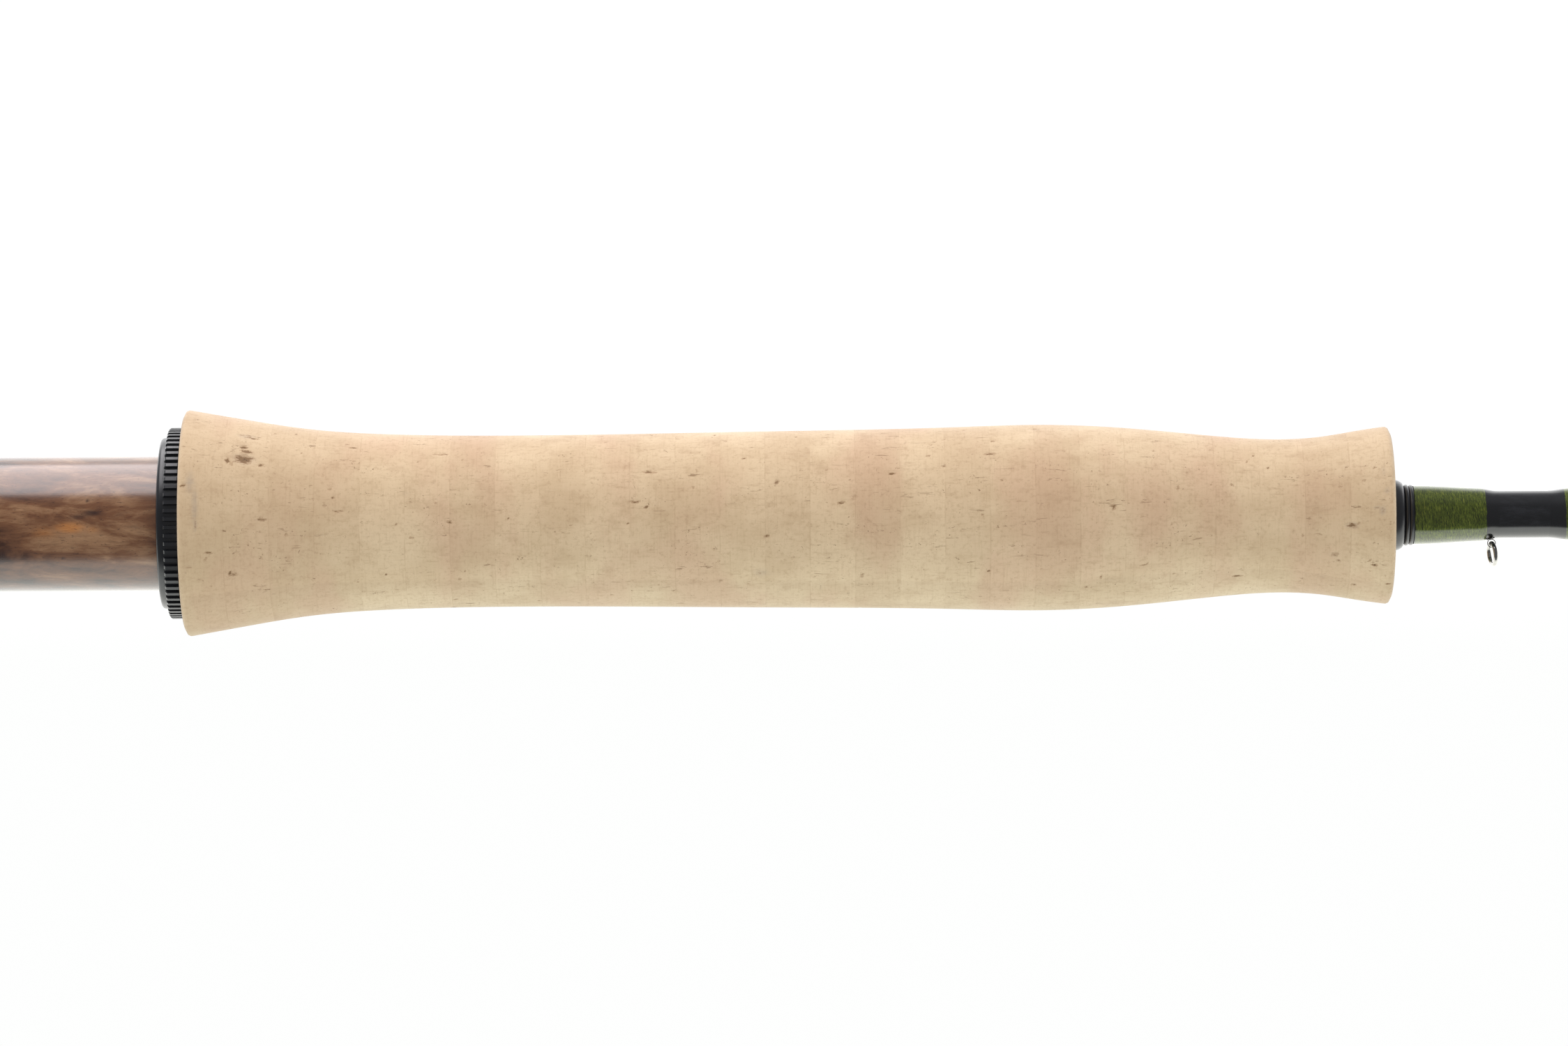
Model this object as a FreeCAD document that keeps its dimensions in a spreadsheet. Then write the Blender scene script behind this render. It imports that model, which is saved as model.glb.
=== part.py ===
import FreeCAD, Part
import math
import os

import Sketcher
from FreeCAD import Placement, Rotation, Vector

# Light single-handed fly rod in four sections that join on spigots. X runs along the
# rod from the butt to the tip, and -Z is the side of the reel, the hook keeper and
# the line guides. The origin is the centre of the butt cap's end face. Millimetres
# and degrees.

SIZES = {
    # the whole rod
    "rod_length": 2286.0,
    "butt_radius": 3.80,
    "tip_radius": 0.80,
    "butt_bore_radius": 2.85,
    "tip_bore_radius": 0.36,
    "joint_gap": 4.0,
    "spigot_depth": 45.0,
    "spigot_clearance": 0.06,
    "glue_gap": 0.05,
    "running_gap": 0.1,
    # reel seat
    "seat_length": 105.0,
    "cap_radius": 12.6,
    "cap_length": 7.0,
    "cap_dome": 1.6,
    "cap_plug_length": 5.0,
    "barrel_radius": 9.5,
    "barrel_bore_radius": 8.0,
    "thread_length": 38.0,
    "thread_pitch": 1.5,
    "thread_depth": 0.45,
    "insert_radius": 9.62,
    "insert_bore_radius": 5.5,
    "bushing_width": 8.0,
    "foot_width": 14.0,
    "foot_thickness": 1.7,
    # fixed hood, let into the back of the grip
    "lip_length": 1.1,
    "lip_radius": 12.18,
    "coin_width": 2.2,
    "coin_radius": 13.6,
    "flute_count": 72.0,
    "flute_width": 0.62,
    "flute_depth": 0.45,
    "sleeve_length": 15.0,
    "sleeve_radius": 12.0,
    # sliding hood and its nut
    "hood_start": 24.0,
    "hood_length": 15.0,
    "hood_radius": 12.2,
    "hood_pocket_depth": 10.0,
    "nut_length": 7.0,
    "nut_radius": 13.0,
    "neck_length": 2.4,
    "neck_radius": 10.5,
    "snap_radius": 10.9,
    "snap_width": 0.8,
    # grip
    "ring_count": 27.0,
    "ring_thickness": 6.35,
    "grip_back_radius": 16.1,
    "grip_waist_radius": 12.2,
    "grip_swell_radius": 13.22,
    "grip_neck_radius": 10.92,
    "grip_front_radius": 12.62,
    "grip_edge": 0.7,
    # winding check
    "check_radius": 5.1,
    "check_base_length": 2.0,
    "check_bead_radius": 4.35,
    "check_bead_length": 0.68,
    # thread wraps
    "wrap_thickness": 0.32,
    "grip_wrap_length": 10.2,
    "grip_wrap_swell": 0.78,
    "band_wrap_gap": 11.3,
    "band_wrap_length": 14.0,
    "wrap_ramp": 0.9,
    "wrap_beyond": 1.5,
    "ferrule_wrap_length": 22.0,
    # hook keeper
    "keeper_offset": 0.95,
    "keeper_ring_radius": 1.52,
    "keeper_wire_radius": 0.33,
    "keeper_eye_radius": 0.63,
    "keeper_eye_bore": 0.5,
    "keeper_width": 0.8,
    "keeper_strap": 0.2,
    "keeper_foot_length": 6.0,
    "keeper_ring_turn": 12.0,
    "keeper_ring_lean": 6.0,
    # guides
    "stripper_share": 0.7087,
    "stripper_ring_radius": 3.5,
    "stripper_ring_wall": 1.0,
    "stripper_ring_width": 2.2,
    "stripper_frame_wall": 0.7,
    "stripper_height": 8.6,
    "stripper_stride": 11.0,
    "leg_radius": 0.5,
    "guide_foot_length": 8.0,
    "snake_first_share": 0.04374,
    "snake_step_share": 0.0070,
    "snake_reach": 9.0,
    "snake_tip_size": 3.2,
    "snake_butt_size": 4.5,
    "snake_wire_radius": 0.36,
    "tip_tube_length": 10.0,
    "tip_tube_wall": 0.35,
    "tip_loop_radius": 2.3,
    "tip_wire_radius": 0.4,
}
SECTIONS = 4
FULL_TURN = 360.0
SNAKES = 9
SNAKE_STATIONS = 16
WIRE_POINTS = 12

document = FreeCAD.newDocument("fly_rod")
sheet = document.addObject("Spreadsheet::Sheet", "dim")
for row, (alias, number) in enumerate(SIZES.items(), start=1):
    sheet.set(f"A{row}", alias)
    sheet.set(f"B{row}", str(number))
    sheet.setAlias(f"B{row}", alias)
document.recompute()

nodes = []


def value(expression):
    """The number that an expression of the sheet's values gives."""
    return float(sheet.evalExpression(str(expression)))


def node(thing, label):
    thing.Label = label
    nodes.append(thing)
    return thing


# Places along the rod, as expressions of the sheet's values.

LIP_START = "(dim.seat_length - dim.coin_width - dim.lip_length)"
COIN_START = "(dim.seat_length - dim.coin_width)"
THREAD_END = "(dim.cap_length + dim.thread_length)"
SLEEVE_END = "(dim.seat_length + dim.sleeve_length)"
GRIP_END = "(dim.seat_length + dim.ring_count * dim.ring_thickness)"
CHECK_END = f"({GRIP_END} + dim.check_base_length + 2 * dim.check_bead_length)"
GRIP_WRAP_END = f"({CHECK_END} + dim.grip_wrap_length)"
BAND_START = f"({GRIP_WRAP_END} + dim.band_wrap_gap)"
KEEPER_X = f"({GRIP_WRAP_END} + dim.keeper_offset)"
BLANK_START = "(dim.cap_length + dim.cap_plug_length + 1)"
BLANK_END = "(dim.rod_length - dim.tip_loop_radius - 2)"
NUT_START = "(dim.hood_start - dim.nut_length - dim.running_gap)"
STRIPPER_FROM_TIP = "(dim.rod_length * dim.stripper_share)"
SNAKE_FIRST = "(dim.rod_length * dim.snake_first_share)"
SNAKE_STEP = "(dim.rod_length * dim.snake_step_share)"


def blank_radius(x):
    """The blank tapers evenly from the butt to the tip."""
    return f"(dim.butt_radius - (dim.butt_radius - dim.tip_radius) * ({x}) / dim.rod_length)"


def bore_radius(x):
    return (
        "(dim.butt_bore_radius - (dim.butt_bore_radius - dim.tip_bore_radius)"
        f" * ({x}) / dim.rod_length)"
    )


def joint_place(number):
    """The middle of the gap that a joint shows between two sections."""
    return f"(dim.rod_length * {number} / {SECTIONS})"


# Ways to make a piece.


def plane(body, role):
    return next(f for f in body.Origin.OriginFeatures if f.Role == role)


def sketch_on(body, role, name):
    sketch = body.newObject("Sketcher::SketchObject", name)
    sketch.AttachmentSupport = (plane(body, role), [""])
    sketch.MapMode = "FlatFace"
    return sketch


def pin_point(sketch, geometry, along, out):
    """Ties a line's first point to two expressions: along the rod, and out from its axis."""
    for direction, expression, axis in (("X", along, -2), ("Y", out, -1)):
        if expression == "0":
            sketch.addConstraint(Sketcher.Constraint("PointOnObject", geometry, 1, axis))
        else:
            kind, number = f"Distance{direction}", value(expression)
            made = sketch.addConstraint(
                Sketcher.Constraint(kind, -1, 1, geometry, 1, number)
            )
            sketch.setExpression(f"Constraints[{made}]", expression)


def draw_outline(sketch, outline):
    """A closed outline of straight lines whose corners are all tied to the sheet."""
    corners = [Vector(value(along), value(out), 0) for along, out in outline]
    count = len(corners)
    for i in range(count):
        sketch.addGeometry(Part.LineSegment(corners[i], corners[(i + 1) % count]))
    for i in range(count):
        sketch.addConstraint(
            Sketcher.Constraint("Coincident", i, 2, (i + 1) % count, 1)
        )
    for i, (along, out) in enumerate(outline):
        pin_point(sketch, i, along, out)


def turned(name, outline):
    """A body turned about the rod's axis from an outline of (along, out) corners."""
    body = document.addObject("PartDesign::Body", name)
    sketch = sketch_on(body, "XZ_Plane", f"{name}_outline")
    draw_outline(sketch, outline)
    document.recompute()
    revolution = body.newObject("PartDesign::Revolution", f"{name}_turned")
    revolution.Profile = sketch
    revolution.ReferenceAxis = (sketch, ["H_Axis"])
    revolution.Angle = FULL_TURN
    document.recompute()
    return body


def flute(body, name, start, length, radius):
    """Cuts the coin edge: even flutes along the rod round a turned band."""
    sketch = sketch_on(body, "XZ_Plane", f"{name}_flute")
    floor = f"({radius} - dim.flute_depth)"
    end = f"({start} + {length})"
    top = f"({radius} + 1)"
    draw_outline(sketch, [(start, floor), (end, floor), (end, top), (start, top)])
    document.recompute()
    pocket = body.newObject("PartDesign::Pocket", f"{name}_first_flute")
    pocket.Profile = sketch
    pocket.Midplane = True
    pocket.Length = value("dim.flute_width")
    pocket.setExpression("Length", "dim.flute_width")
    document.recompute()
    pattern = body.newObject("PartDesign::PolarPattern", f"{name}_flutes")
    pattern.Originals = [pocket]
    pattern.Axis = (sketch, ["H_Axis"])
    pattern.Angle = FULL_TURN
    pattern.Occurrences = int(value("dim.flute_count"))
    pattern.setExpression("Occurrences", "dim.flute_count")
    body.Tip = pattern
    document.recompute()


def cut_foot_pocket(body, name, start, length):
    """Opens the arched pocket that a reel foot's end slides into, under the insert."""
    sketch = sketch_on(body, "XZ_Plane", f"{name}_pocket_outline")
    reach = "(dim.insert_radius + dim.foot_thickness)"
    end = f"({start} + {length})"
    low = "(dim.insert_radius - 1)"
    draw_outline(sketch, [(start, low), (end, low), (end, reach), (start, reach)])
    document.recompute()
    groove = body.newObject("PartDesign::Groove", f"{name}_pocket")
    groove.Profile = sketch
    groove.ReferenceAxis = (sketch, ["H_Axis"])
    groove.Midplane = True
    arc = "2 * asin(dim.foot_width / 2 / (dim.insert_radius + dim.foot_thickness))"
    groove.setExpression("Angle", arc)
    document.recompute()


def feature(name, shape):
    """A piece whose shape is worked out here from the sheet's values."""
    made = document.addObject("Part::Feature", name)
    made.Shape = shape
    return made


def compound(name, pieces):
    made = document.addObject("Part::Compound", name)
    made.Links = pieces
    return made


def tube(start, end, inner, outer):
    """A straight or tapered tube along the rod: each radius is a pair of numbers."""
    points = [
        Vector(start, 0, inner[0]),
        Vector(end, 0, inner[1]),
        Vector(end, 0, outer[1]),
        Vector(start, 0, outer[0]),
    ]
    face = Part.Face(Part.makePolygon(points + points[:1]))
    return face.revolve(Vector(0, 0, 0), Vector(1, 0, 0), FULL_TURN)


def rod_between(start, end, radius):
    """A round bar from one point to another."""
    run = end - start
    return Part.makeCylinder(radius, run.Length, start, run)


# Reel seat.


def make_butt_cap():
    skirt = "(dim.barrel_bore_radius - dim.glue_gap)"
    plug_end = "(dim.cap_length + dim.cap_plug_length)"
    edge = "(dim.cap_radius - dim.cap_dome)"
    body = turned(
        "butt_cap",
        [
            ("0", "0"),
            (plug_end, "0"),
            (plug_end, skirt),
            ("dim.cap_length", skirt),
            ("dim.cap_length", "dim.cap_radius"),
            ("dim.cap_dome", "dim.cap_radius"),
            ("dim.cap_dome / 3", f"({edge} + dim.cap_dome * 0.6)"),
            ("0", edge),
        ],
    )
    band = "(dim.cap_length - dim.cap_dome - 1.4)"
    flute(body, "cap", "(dim.cap_dome + 0.7)", band, "dim.cap_radius")
    return node(body, "butt_cap")


def make_threaded_barrel():
    body = turned(
        "threaded_barrel",
        [
            ("dim.cap_length", "dim.barrel_bore_radius"),
            (THREAD_END, "dim.barrel_bore_radius"),
            (THREAD_END, "(dim.barrel_radius - 0.4)"),
            (f"({THREAD_END} - 0.4)", "dim.barrel_radius"),
            ("dim.cap_length", "dim.barrel_radius"),
        ],
    )
    sketch = sketch_on(body, "XZ_Plane", "thread_outline")
    start = "(dim.cap_length + dim.thread_pitch)"
    half = "(dim.thread_pitch * 0.4)"
    crest = "(dim.barrel_radius + 0.1)"
    root = "(dim.barrel_radius - dim.thread_depth)"
    draw_outline(
        sketch,
        [(f"({start} - {half})", crest), (start, root), (f"({start} + {half})", crest)],
    )
    document.recompute()
    helix = body.newObject("PartDesign::SubtractiveHelix", "thread")
    helix.Profile = sketch
    helix.ReferenceAxis = (sketch, ["H_Axis"])
    helix.Mode = 0
    helix.setExpression("Pitch", "dim.thread_pitch")
    helix.setExpression("Height", "dim.thread_length - 2.5 * dim.thread_pitch")
    document.recompute()
    return node(body, "threaded_barrel")


def make_wood_insert():
    tenon = "(dim.barrel_bore_radius - dim.glue_gap)"
    start = "(dim.cap_length + dim.cap_plug_length + dim.glue_gap)"
    end = f"({SLEEVE_END} - 1)"
    body = turned(
        "wood_insert",
        [
            (start, "dim.insert_bore_radius"),
            (end, "dim.insert_bore_radius"),
            (end, "dim.insert_radius"),
            (THREAD_END, "dim.insert_radius"),
            (THREAD_END, tenon),
            (start, tenon),
        ],
    )
    return node(body, "wood_insert")


def make_seat_bushings():
    """Three bushes that centre the blank in the insert."""
    outer = "(dim.insert_bore_radius - dim.glue_gap)"
    pieces = []
    for number in range(3):
        start = f"({BLANK_START} + 4 + {number} * (dim.seat_length - 22) / 2)"
        end = f"({start} + dim.bushing_width)"
        pieces.append(
            turned(
                f"bushing_{number + 1}",
                [
                    (start, f"({blank_radius(start)} + dim.glue_gap)"),
                    (end, f"({blank_radius(end)} + dim.glue_gap)"),
                    (end, outer),
                    (start, outer),
                ],
            )
        )
    return node(compound("seat_bushings", pieces), "seat_bushings")


def make_fixed_hood():
    bore = "(dim.insert_radius + dim.glue_gap)"
    chamfer = "(dim.lip_radius - 0.35)"
    body = turned(
        "fixed_hood",
        [
            (LIP_START, bore),
            (SLEEVE_END, bore),
            (SLEEVE_END, "dim.sleeve_radius"),
            (COIN_START, "dim.sleeve_radius"),
            (COIN_START, "dim.lip_radius"),
            (f"({LIP_START} + 0.35)", "dim.lip_radius"),
            (LIP_START, chamfer),
        ],
    )
    length = "(dim.lip_length + dim.coin_width + dim.sleeve_length - 2)"
    cut_foot_pocket(body, "fixed", LIP_START, length)
    return node(body, "fixed_hood")


def make_coin_edge_ring():
    bore = "(dim.sleeve_radius + dim.glue_gap)"
    body = turned(
        "coin_edge_ring",
        [
            (COIN_START, bore),
            ("dim.seat_length", bore),
            ("dim.seat_length", "dim.coin_radius"),
            (f"({COIN_START} + 0.3)", "dim.coin_radius"),
            (COIN_START, "(dim.coin_radius - 0.3)"),
        ],
    )
    flute(body, "coin", f"({COIN_START} - 0.1)", "(dim.coin_width + 0.2)", "dim.coin_radius")
    return node(body, "coin_edge_ring")


def make_sliding_hood():
    """The mouth faces the grip, and the nut's neck snaps into a groove in the back."""
    bore = "(dim.insert_radius + dim.running_gap)"
    end = "(dim.hood_start + dim.hood_length)"
    neck_bore = "(dim.neck_radius + dim.running_gap)"
    snap_bore = "(dim.snap_radius + dim.running_gap)"
    snap_back = (
        "(dim.hood_start + dim.neck_length - dim.running_gap"
        " - dim.snap_width - dim.running_gap)"
    )
    socket_end = "(dim.hood_start + dim.neck_length + dim.running_gap)"
    body = turned(
        "sliding_hood",
        [
            ("dim.hood_start", neck_bore),
            (snap_back, neck_bore),
            (snap_back, snap_bore),
            (socket_end, snap_bore),
            (socket_end, bore),
            (end, bore),
            (end, "(dim.hood_radius - 0.4)"),
            (f"({end} - 0.4)", "dim.hood_radius"),
            ("(dim.hood_start + 0.4)", "dim.hood_radius"),
            ("dim.hood_start", "(dim.hood_radius - 0.4)"),
        ],
    )
    start = f"({end} - dim.hood_pocket_depth)"
    cut_foot_pocket(body, "hood", start, "dim.hood_pocket_depth")
    return node(body, "sliding_hood")


def make_lock_nut():
    bore = "(dim.barrel_radius + dim.running_gap)"
    face = f"({NUT_START} + dim.nut_length)"
    tip = "(dim.hood_start + dim.neck_length - dim.running_gap)"
    body = turned(
        "lock_nut",
        [
            (NUT_START, bore),
            (tip, bore),
            (tip, "dim.snap_radius"),
            (f"({tip} - dim.snap_width)", "dim.snap_radius"),
            (f"({tip} - dim.snap_width)", "dim.neck_radius"),
            (face, "dim.neck_radius"),
            (face, "(dim.nut_radius - 0.4)"),
            (f"({face} - 0.4)", "dim.nut_radius"),
            (f"({NUT_START} + 0.4)", "dim.nut_radius"),
            (NUT_START, "(dim.nut_radius - 0.4)"),
        ],
    )
    flute(body, "nut", f"({NUT_START} + 1.2)", "(dim.nut_length - 2.4)", "dim.nut_radius")
    return node(body, "lock_nut")


# Grip.


def grip_profile():
    """The grip's outline as (share of its length, radius): flare, waist, swell, neck, flare."""
    back, waist = value("dim.grip_back_radius"), value("dim.grip_waist_radius")
    swell, neck = value("dim.grip_swell_radius"), value("dim.grip_neck_radius")
    front = value("dim.grip_front_radius")
    flare = back - waist
    return [
        (0.004, back),
        (0.054, waist + 0.615 * flare),
        (0.100, waist + 0.300 * flare),
        (0.170, waist + 0.075 * flare),
        (0.280, waist),
        (0.480, (2 * waist + swell) / 3),
        (0.640, (waist + 3 * swell) / 4),
        (0.710, swell),
        (0.790, (3 * swell + neck) / 4 - 0.1),
        (0.860, (swell + 4 * neck) / 5),
        (0.905, neck),
        (0.945, neck + 0.22 * (front - neck)),
        (0.975, neck + 0.70 * (front - neck)),
        (0.996, front),
    ]


def turned_grip():
    """The grip as it leaves the lathe: a smooth curve with eased edges, still unbored."""
    start, end = value("dim.seat_length"), value(GRIP_END)
    edge = value("dim.grip_edge")
    points = [
        Vector(start + share * (end - start), 0, radius)
        for share, radius in grip_profile()
    ]
    curve = Part.BSplineCurve()
    curve.interpolate(points)
    first, last = points[0], points[-1]
    back = Vector(start, 0, first.z - edge)
    front = Vector(end, 0, last.z - edge)
    outline = [
        Part.makePolygon([Vector(end, 0, 0), Vector(start, 0, 0), back, first]),
        curve.toShape(),
        Part.makePolygon([last, front, Vector(end, 0, 0)]),
    ]
    edges = [edge for shape in outline for edge in shape.Edges]
    face = Part.Face(Part.Wire(Part.sortEdges(edges)[0]))
    return face.revolve(Vector(0, 0, 0), Vector(1, 0, 0), FULL_TURN)


def make_cork_rings():
    """Rings glued end to end and turned as one, the first few bored wider for the hood."""
    grip = turned_grip()
    start, end, step = value("dim.seat_length"), value(GRIP_END), value("dim.ring_thickness")
    gap = value("dim.glue_gap")
    sleeve_end = value(SLEEVE_END) + gap
    blank = tube(
        start - 1,
        end + 1,
        (0, 0),
        [value(blank_radius(x)) + gap for x in (start - 1, end + 1)],
    )
    recess = Part.makeCylinder(
        value("dim.sleeve_radius") + gap, sleeve_end - start + 1,
        Vector(start - 1, 0, 0), Vector(1, 0, 0),
    )
    bored = grip.cut(blank).cut(recess)
    reach = 2 * value("dim.grip_back_radius")
    hiding, plain = [], []
    for number in range(int(value("dim.ring_count"))):
        ring_start = start + number * step
        slab = Part.makeCylinder(reach, step, Vector(ring_start, 0, 0), Vector(1, 0, 0))
        group = hiding if ring_start < sleeve_end else plain
        group += bored.common(slab).Solids
    node(feature("cork_hood_rings", Part.makeCompound(hiding)), "cork_hood_rings")
    node(feature("cork_rings", Part.makeCompound(plain)), "cork_rings")


def make_winding_check():
    """A domed washer with two beads in front, pushed up the blank against the cork."""
    base_end = f"({GRIP_END} + dim.check_base_length)"
    mid = f"({base_end} + dim.check_bead_length)"
    valley = "(dim.check_bead_radius - 0.28)"
    fall = f"(dim.check_radius - {valley})"

    def on_dome(share):
        along = f"({GRIP_END} + dim.check_base_length * {share})"
        out = f"({valley} + {fall} * {round(math.sqrt(1 - share * share), 4)})"
        return along, out

    def bead(start):
        first = f"({start} + dim.check_bead_length * 0.25)"
        last = f"({start} + dim.check_bead_length * 0.75)"
        return [(first, "dim.check_bead_radius"), (last, "dim.check_bead_radius")]

    outline = [
        (GRIP_END, f"({blank_radius(GRIP_END)} + dim.glue_gap)"),
        (CHECK_END, f"({blank_radius(CHECK_END)} + dim.glue_gap)"),
        (CHECK_END, valley),
        *reversed(bead(mid)),
        (mid, valley),
        *reversed(bead(base_end)),
        (base_end, valley),
        *[on_dome(share) for share in (0.96, 0.85, 0.65, 0.35)],
        (GRIP_END, "dim.check_radius"),
    ]
    return node(turned("winding_check", outline), "winding_check")


# Blank sections and the spigots that join them.


def section_ends(number):
    """Where a section's blank starts and ends; sections count from 0 at the butt."""
    start = BLANK_START if number == 0 else f"({joint_place(number)} + dim.joint_gap / 2)"
    last = number == SECTIONS - 1
    end = BLANK_END if last else f"({joint_place(number + 1)} - dim.joint_gap / 2)"
    return start, end


def make_blank(number, name):
    start, end = section_ends(number)
    outline = [
        (start, bore_radius(start)),
        (end, bore_radius(end)),
        (end, blank_radius(end)),
        (start, blank_radius(start)),
    ]
    return node(turned(name, outline), name)


def make_spigot(number, name):
    """A tapered plug glued into the lower section, which the upper one slides over."""
    reach = "(dim.joint_gap / 2 + dim.spigot_depth)"
    start = f"({joint_place(number)} - {reach})"
    end = f"({joint_place(number)} + {reach})"
    outline = [
        (start, "0"),
        (end, "0"),
        (end, f"({bore_radius(end)} - dim.spigot_clearance)"),
        (start, f"({bore_radius(start)} - dim.spigot_clearance)"),
    ]
    return node(turned(name, outline), name)


# Thread wraps, sealed under varnish.


def wrap_body(name, start, end, thickness="dim.wrap_thickness"):
    """One wrap round the blank, with the varnish run out to nothing at each end."""
    rise = f"({start} + dim.wrap_ramp)"
    fall = f"({end} - dim.wrap_ramp)"
    return turned(
        name,
        [
            (start, blank_radius(start)),
            (end, blank_radius(end)),
            (end, f"({blank_radius(end)} + 0.06)"),
            (fall, f"({blank_radius(fall)} + {thickness})"),
            (rise, f"({blank_radius(rise)} + {thickness})"),
            (start, f"({blank_radius(start)} + 0.06)"),
        ],
    )


def make_grip_wrap():
    """Built up against the winding check, thin where the keeper stands."""
    thick = f"({blank_radius(CHECK_END)} + dim.grip_wrap_swell)"
    thin = f"({blank_radius(GRIP_WRAP_END)} + dim.wrap_thickness)"
    shoulder = f"({GRIP_WRAP_END} - dim.wrap_ramp)"
    middle = f"({CHECK_END} + 0.55 * dim.grip_wrap_length)"
    body = turned(
        "grip_wrap_whole",
        [
            (CHECK_END, blank_radius(CHECK_END)),
            (GRIP_WRAP_END, blank_radius(GRIP_WRAP_END)),
            (GRIP_WRAP_END, f"({blank_radius(GRIP_WRAP_END)} + 0.08)"),
            (shoulder, thin),
            (middle, f"(({thick} + {thin}) / 2 + 0.08)"),
            (CHECK_END, thick),
        ],
    )
    return body


def make_band_wrap():
    end = f"({BAND_START} + dim.band_wrap_length)"
    return node(wrap_body("band_wrap", BAND_START, end), "band_wrap")


def make_ferrule_wrap(number, side, name):
    """Side is -1 for the section below a joint and 1 for the section above it."""
    sign = "-" if side < 0 else "+"
    near = f"({joint_place(number)} {sign} dim.joint_gap / 2)"
    far = f"({near} {sign} dim.ferrule_wrap_length)"
    start, end = (far, near) if side < 0 else (near, far)
    return node(wrap_body(name, start, end), name)


# Hook keeper: a strap whose foot lies under the wrap and whose eye carries a ring.


def keeper_axis():
    """The middle of the keeper's eye."""
    x = value(KEEPER_X)
    drop = value(blank_radius(KEEPER_X)) + value("dim.keeper_eye_radius")
    return Vector(x, 0, -drop - value("dim.glue_gap"))


def make_keeper_strap():
    centre = keeper_axis()
    width = value("dim.keeper_width")
    side = Vector(0, width / 2, 0)
    across = Vector(0, -1, 0)
    eye = Part.makeCylinder(value("dim.keeper_eye_radius"), width, centre + side, across)
    hole = Part.makeCylinder(
        value("dim.keeper_eye_bore"), 2 * width, centre + side * 2, across
    )
    radius = value(blank_radius(f"({KEEPER_X} - dim.keeper_foot_length)"))
    start = centre.x - value("dim.keeper_foot_length")
    shell = tube(
        start,
        centre.x,
        (radius, value(blank_radius(KEEPER_X))),
        (radius + value("dim.keeper_strap"),) * 2,
    )
    slab = Part.makeBox(
        centre.x - start, width, radius + 1, Vector(start, -width / 2, -radius - 1)
    )
    foot = shell.common(slab)
    strap = eye.fuse(foot).cut(hole).removeSplitter()
    return node(feature("keeper_strap", strap), "keeper_strap")


def make_keeper_ring():
    """The ring hangs a little turned and leaning, as far as the eye's play allows."""
    radius = value("dim.keeper_ring_radius")
    turn = Rotation(Vector(0, 0, 1), value("dim.keeper_ring_turn"))
    lean = Rotation(Vector(0, 1, 0), -value("dim.keeper_ring_lean"))
    upright = Rotation(Vector(0, 1, 0), 90)
    ring = document.addObject("Part::Torus", "keeper_ring")
    ring.setExpression("Radius1", "dim.keeper_ring_radius")
    ring.setExpression("Radius2", "dim.keeper_wire_radius")
    hanging = Placement(Vector(0, 0, -radius), turn.multiply(upright))
    ring.Placement = Placement(keeper_axis(), lean).multiply(hanging)
    return node(ring, "keeper_ring")


def cut_for_strap(whole, strap, name):
    """The wrap with room for the keeper's foot."""
    cut = document.addObject("Part::Cut", name)
    cut.Base = whole
    cut.Tool = strap
    return node(cut, name)


# Guides.


def snake_size(from_tip):
    """The snake guides open out towards the butt."""
    small, large = value("dim.snake_tip_size"), value("dim.snake_butt_size")
    return small + (large - small) * from_tip / value(STRIPPER_FROM_TIP)


def snake_places():
    """Distances from the tip, with each space longer than the last."""
    first, step = value(SNAKE_FIRST), value(SNAKE_STEP)
    return [n * first + n * (n - 1) / 2 * step for n in range(1, SNAKES + 1)]


def section_of(from_tip):
    """The section, counted from 0 at the butt, that a place from the tip lies on."""
    length = value("dim.rod_length")
    return int((length - from_tip) / (length / SECTIONS))


def foot_line(x, radius):
    """A point under the blank where wire of that radius lies against it."""
    return Vector(x, 0, -(value(blank_radius(x)) + radius + value("dim.glue_gap")))


def snake_skin(middle, size, wire):
    """One turn of wire round an axis below the rod, eased at both ends to run along it."""
    reach, half = value("dim.snake_reach"), size / 2
    start = foot_line(middle - reach / 2, wire)
    rows = []
    for i in range(SNAKE_STATIONS + 1):
        share = 2 * math.pi * i / SNAKE_STATIONS
        turn = share - math.sin(share)
        rate = 2 * math.pi * (1 - math.cos(share))
        out = Vector(0, math.sin(turn), math.cos(turn))
        run = Vector(reach, half * rate * out.z, -half * rate * out.y).normalize()
        side = run.cross(out)
        along = reach * i / SNAKE_STATIONS
        point = start + Vector(along, 0, -half) + out * half
        row = []
        for k in range(WIRE_POINTS + 1):
            angle = 2 * math.pi * k / WIRE_POINTS
            row.append(point + (out * math.cos(angle) + side * math.sin(angle)) * wire)
        rows.append(row)
    skin = Part.BSplineSurface()
    skin.interpolate(rows)
    return skin


def snake_wire(from_tip):
    """A snake guide: a foot, one turn of wire and another foot."""
    middle = value("dim.rod_length") - from_tip
    skin = snake_skin(middle, snake_size(from_tip), value("dim.snake_wire_radius"))
    first, last, _, _ = skin.bounds()
    faces = [skin.toShape()]
    for place, direction in ((first, -1), (last, 1)):
        rim = skin.uIso(place).toShape()
        toe = rim.translated(Vector(direction * value("dim.guide_foot_length"), 0, 0))
        faces += [Part.makeRuledSurface(rim, toe), Part.Face(Part.Wire([toe]))]
    shell = Part.Shell(faces)
    shell.sewShape()
    return Part.Solid(shell)


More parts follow.
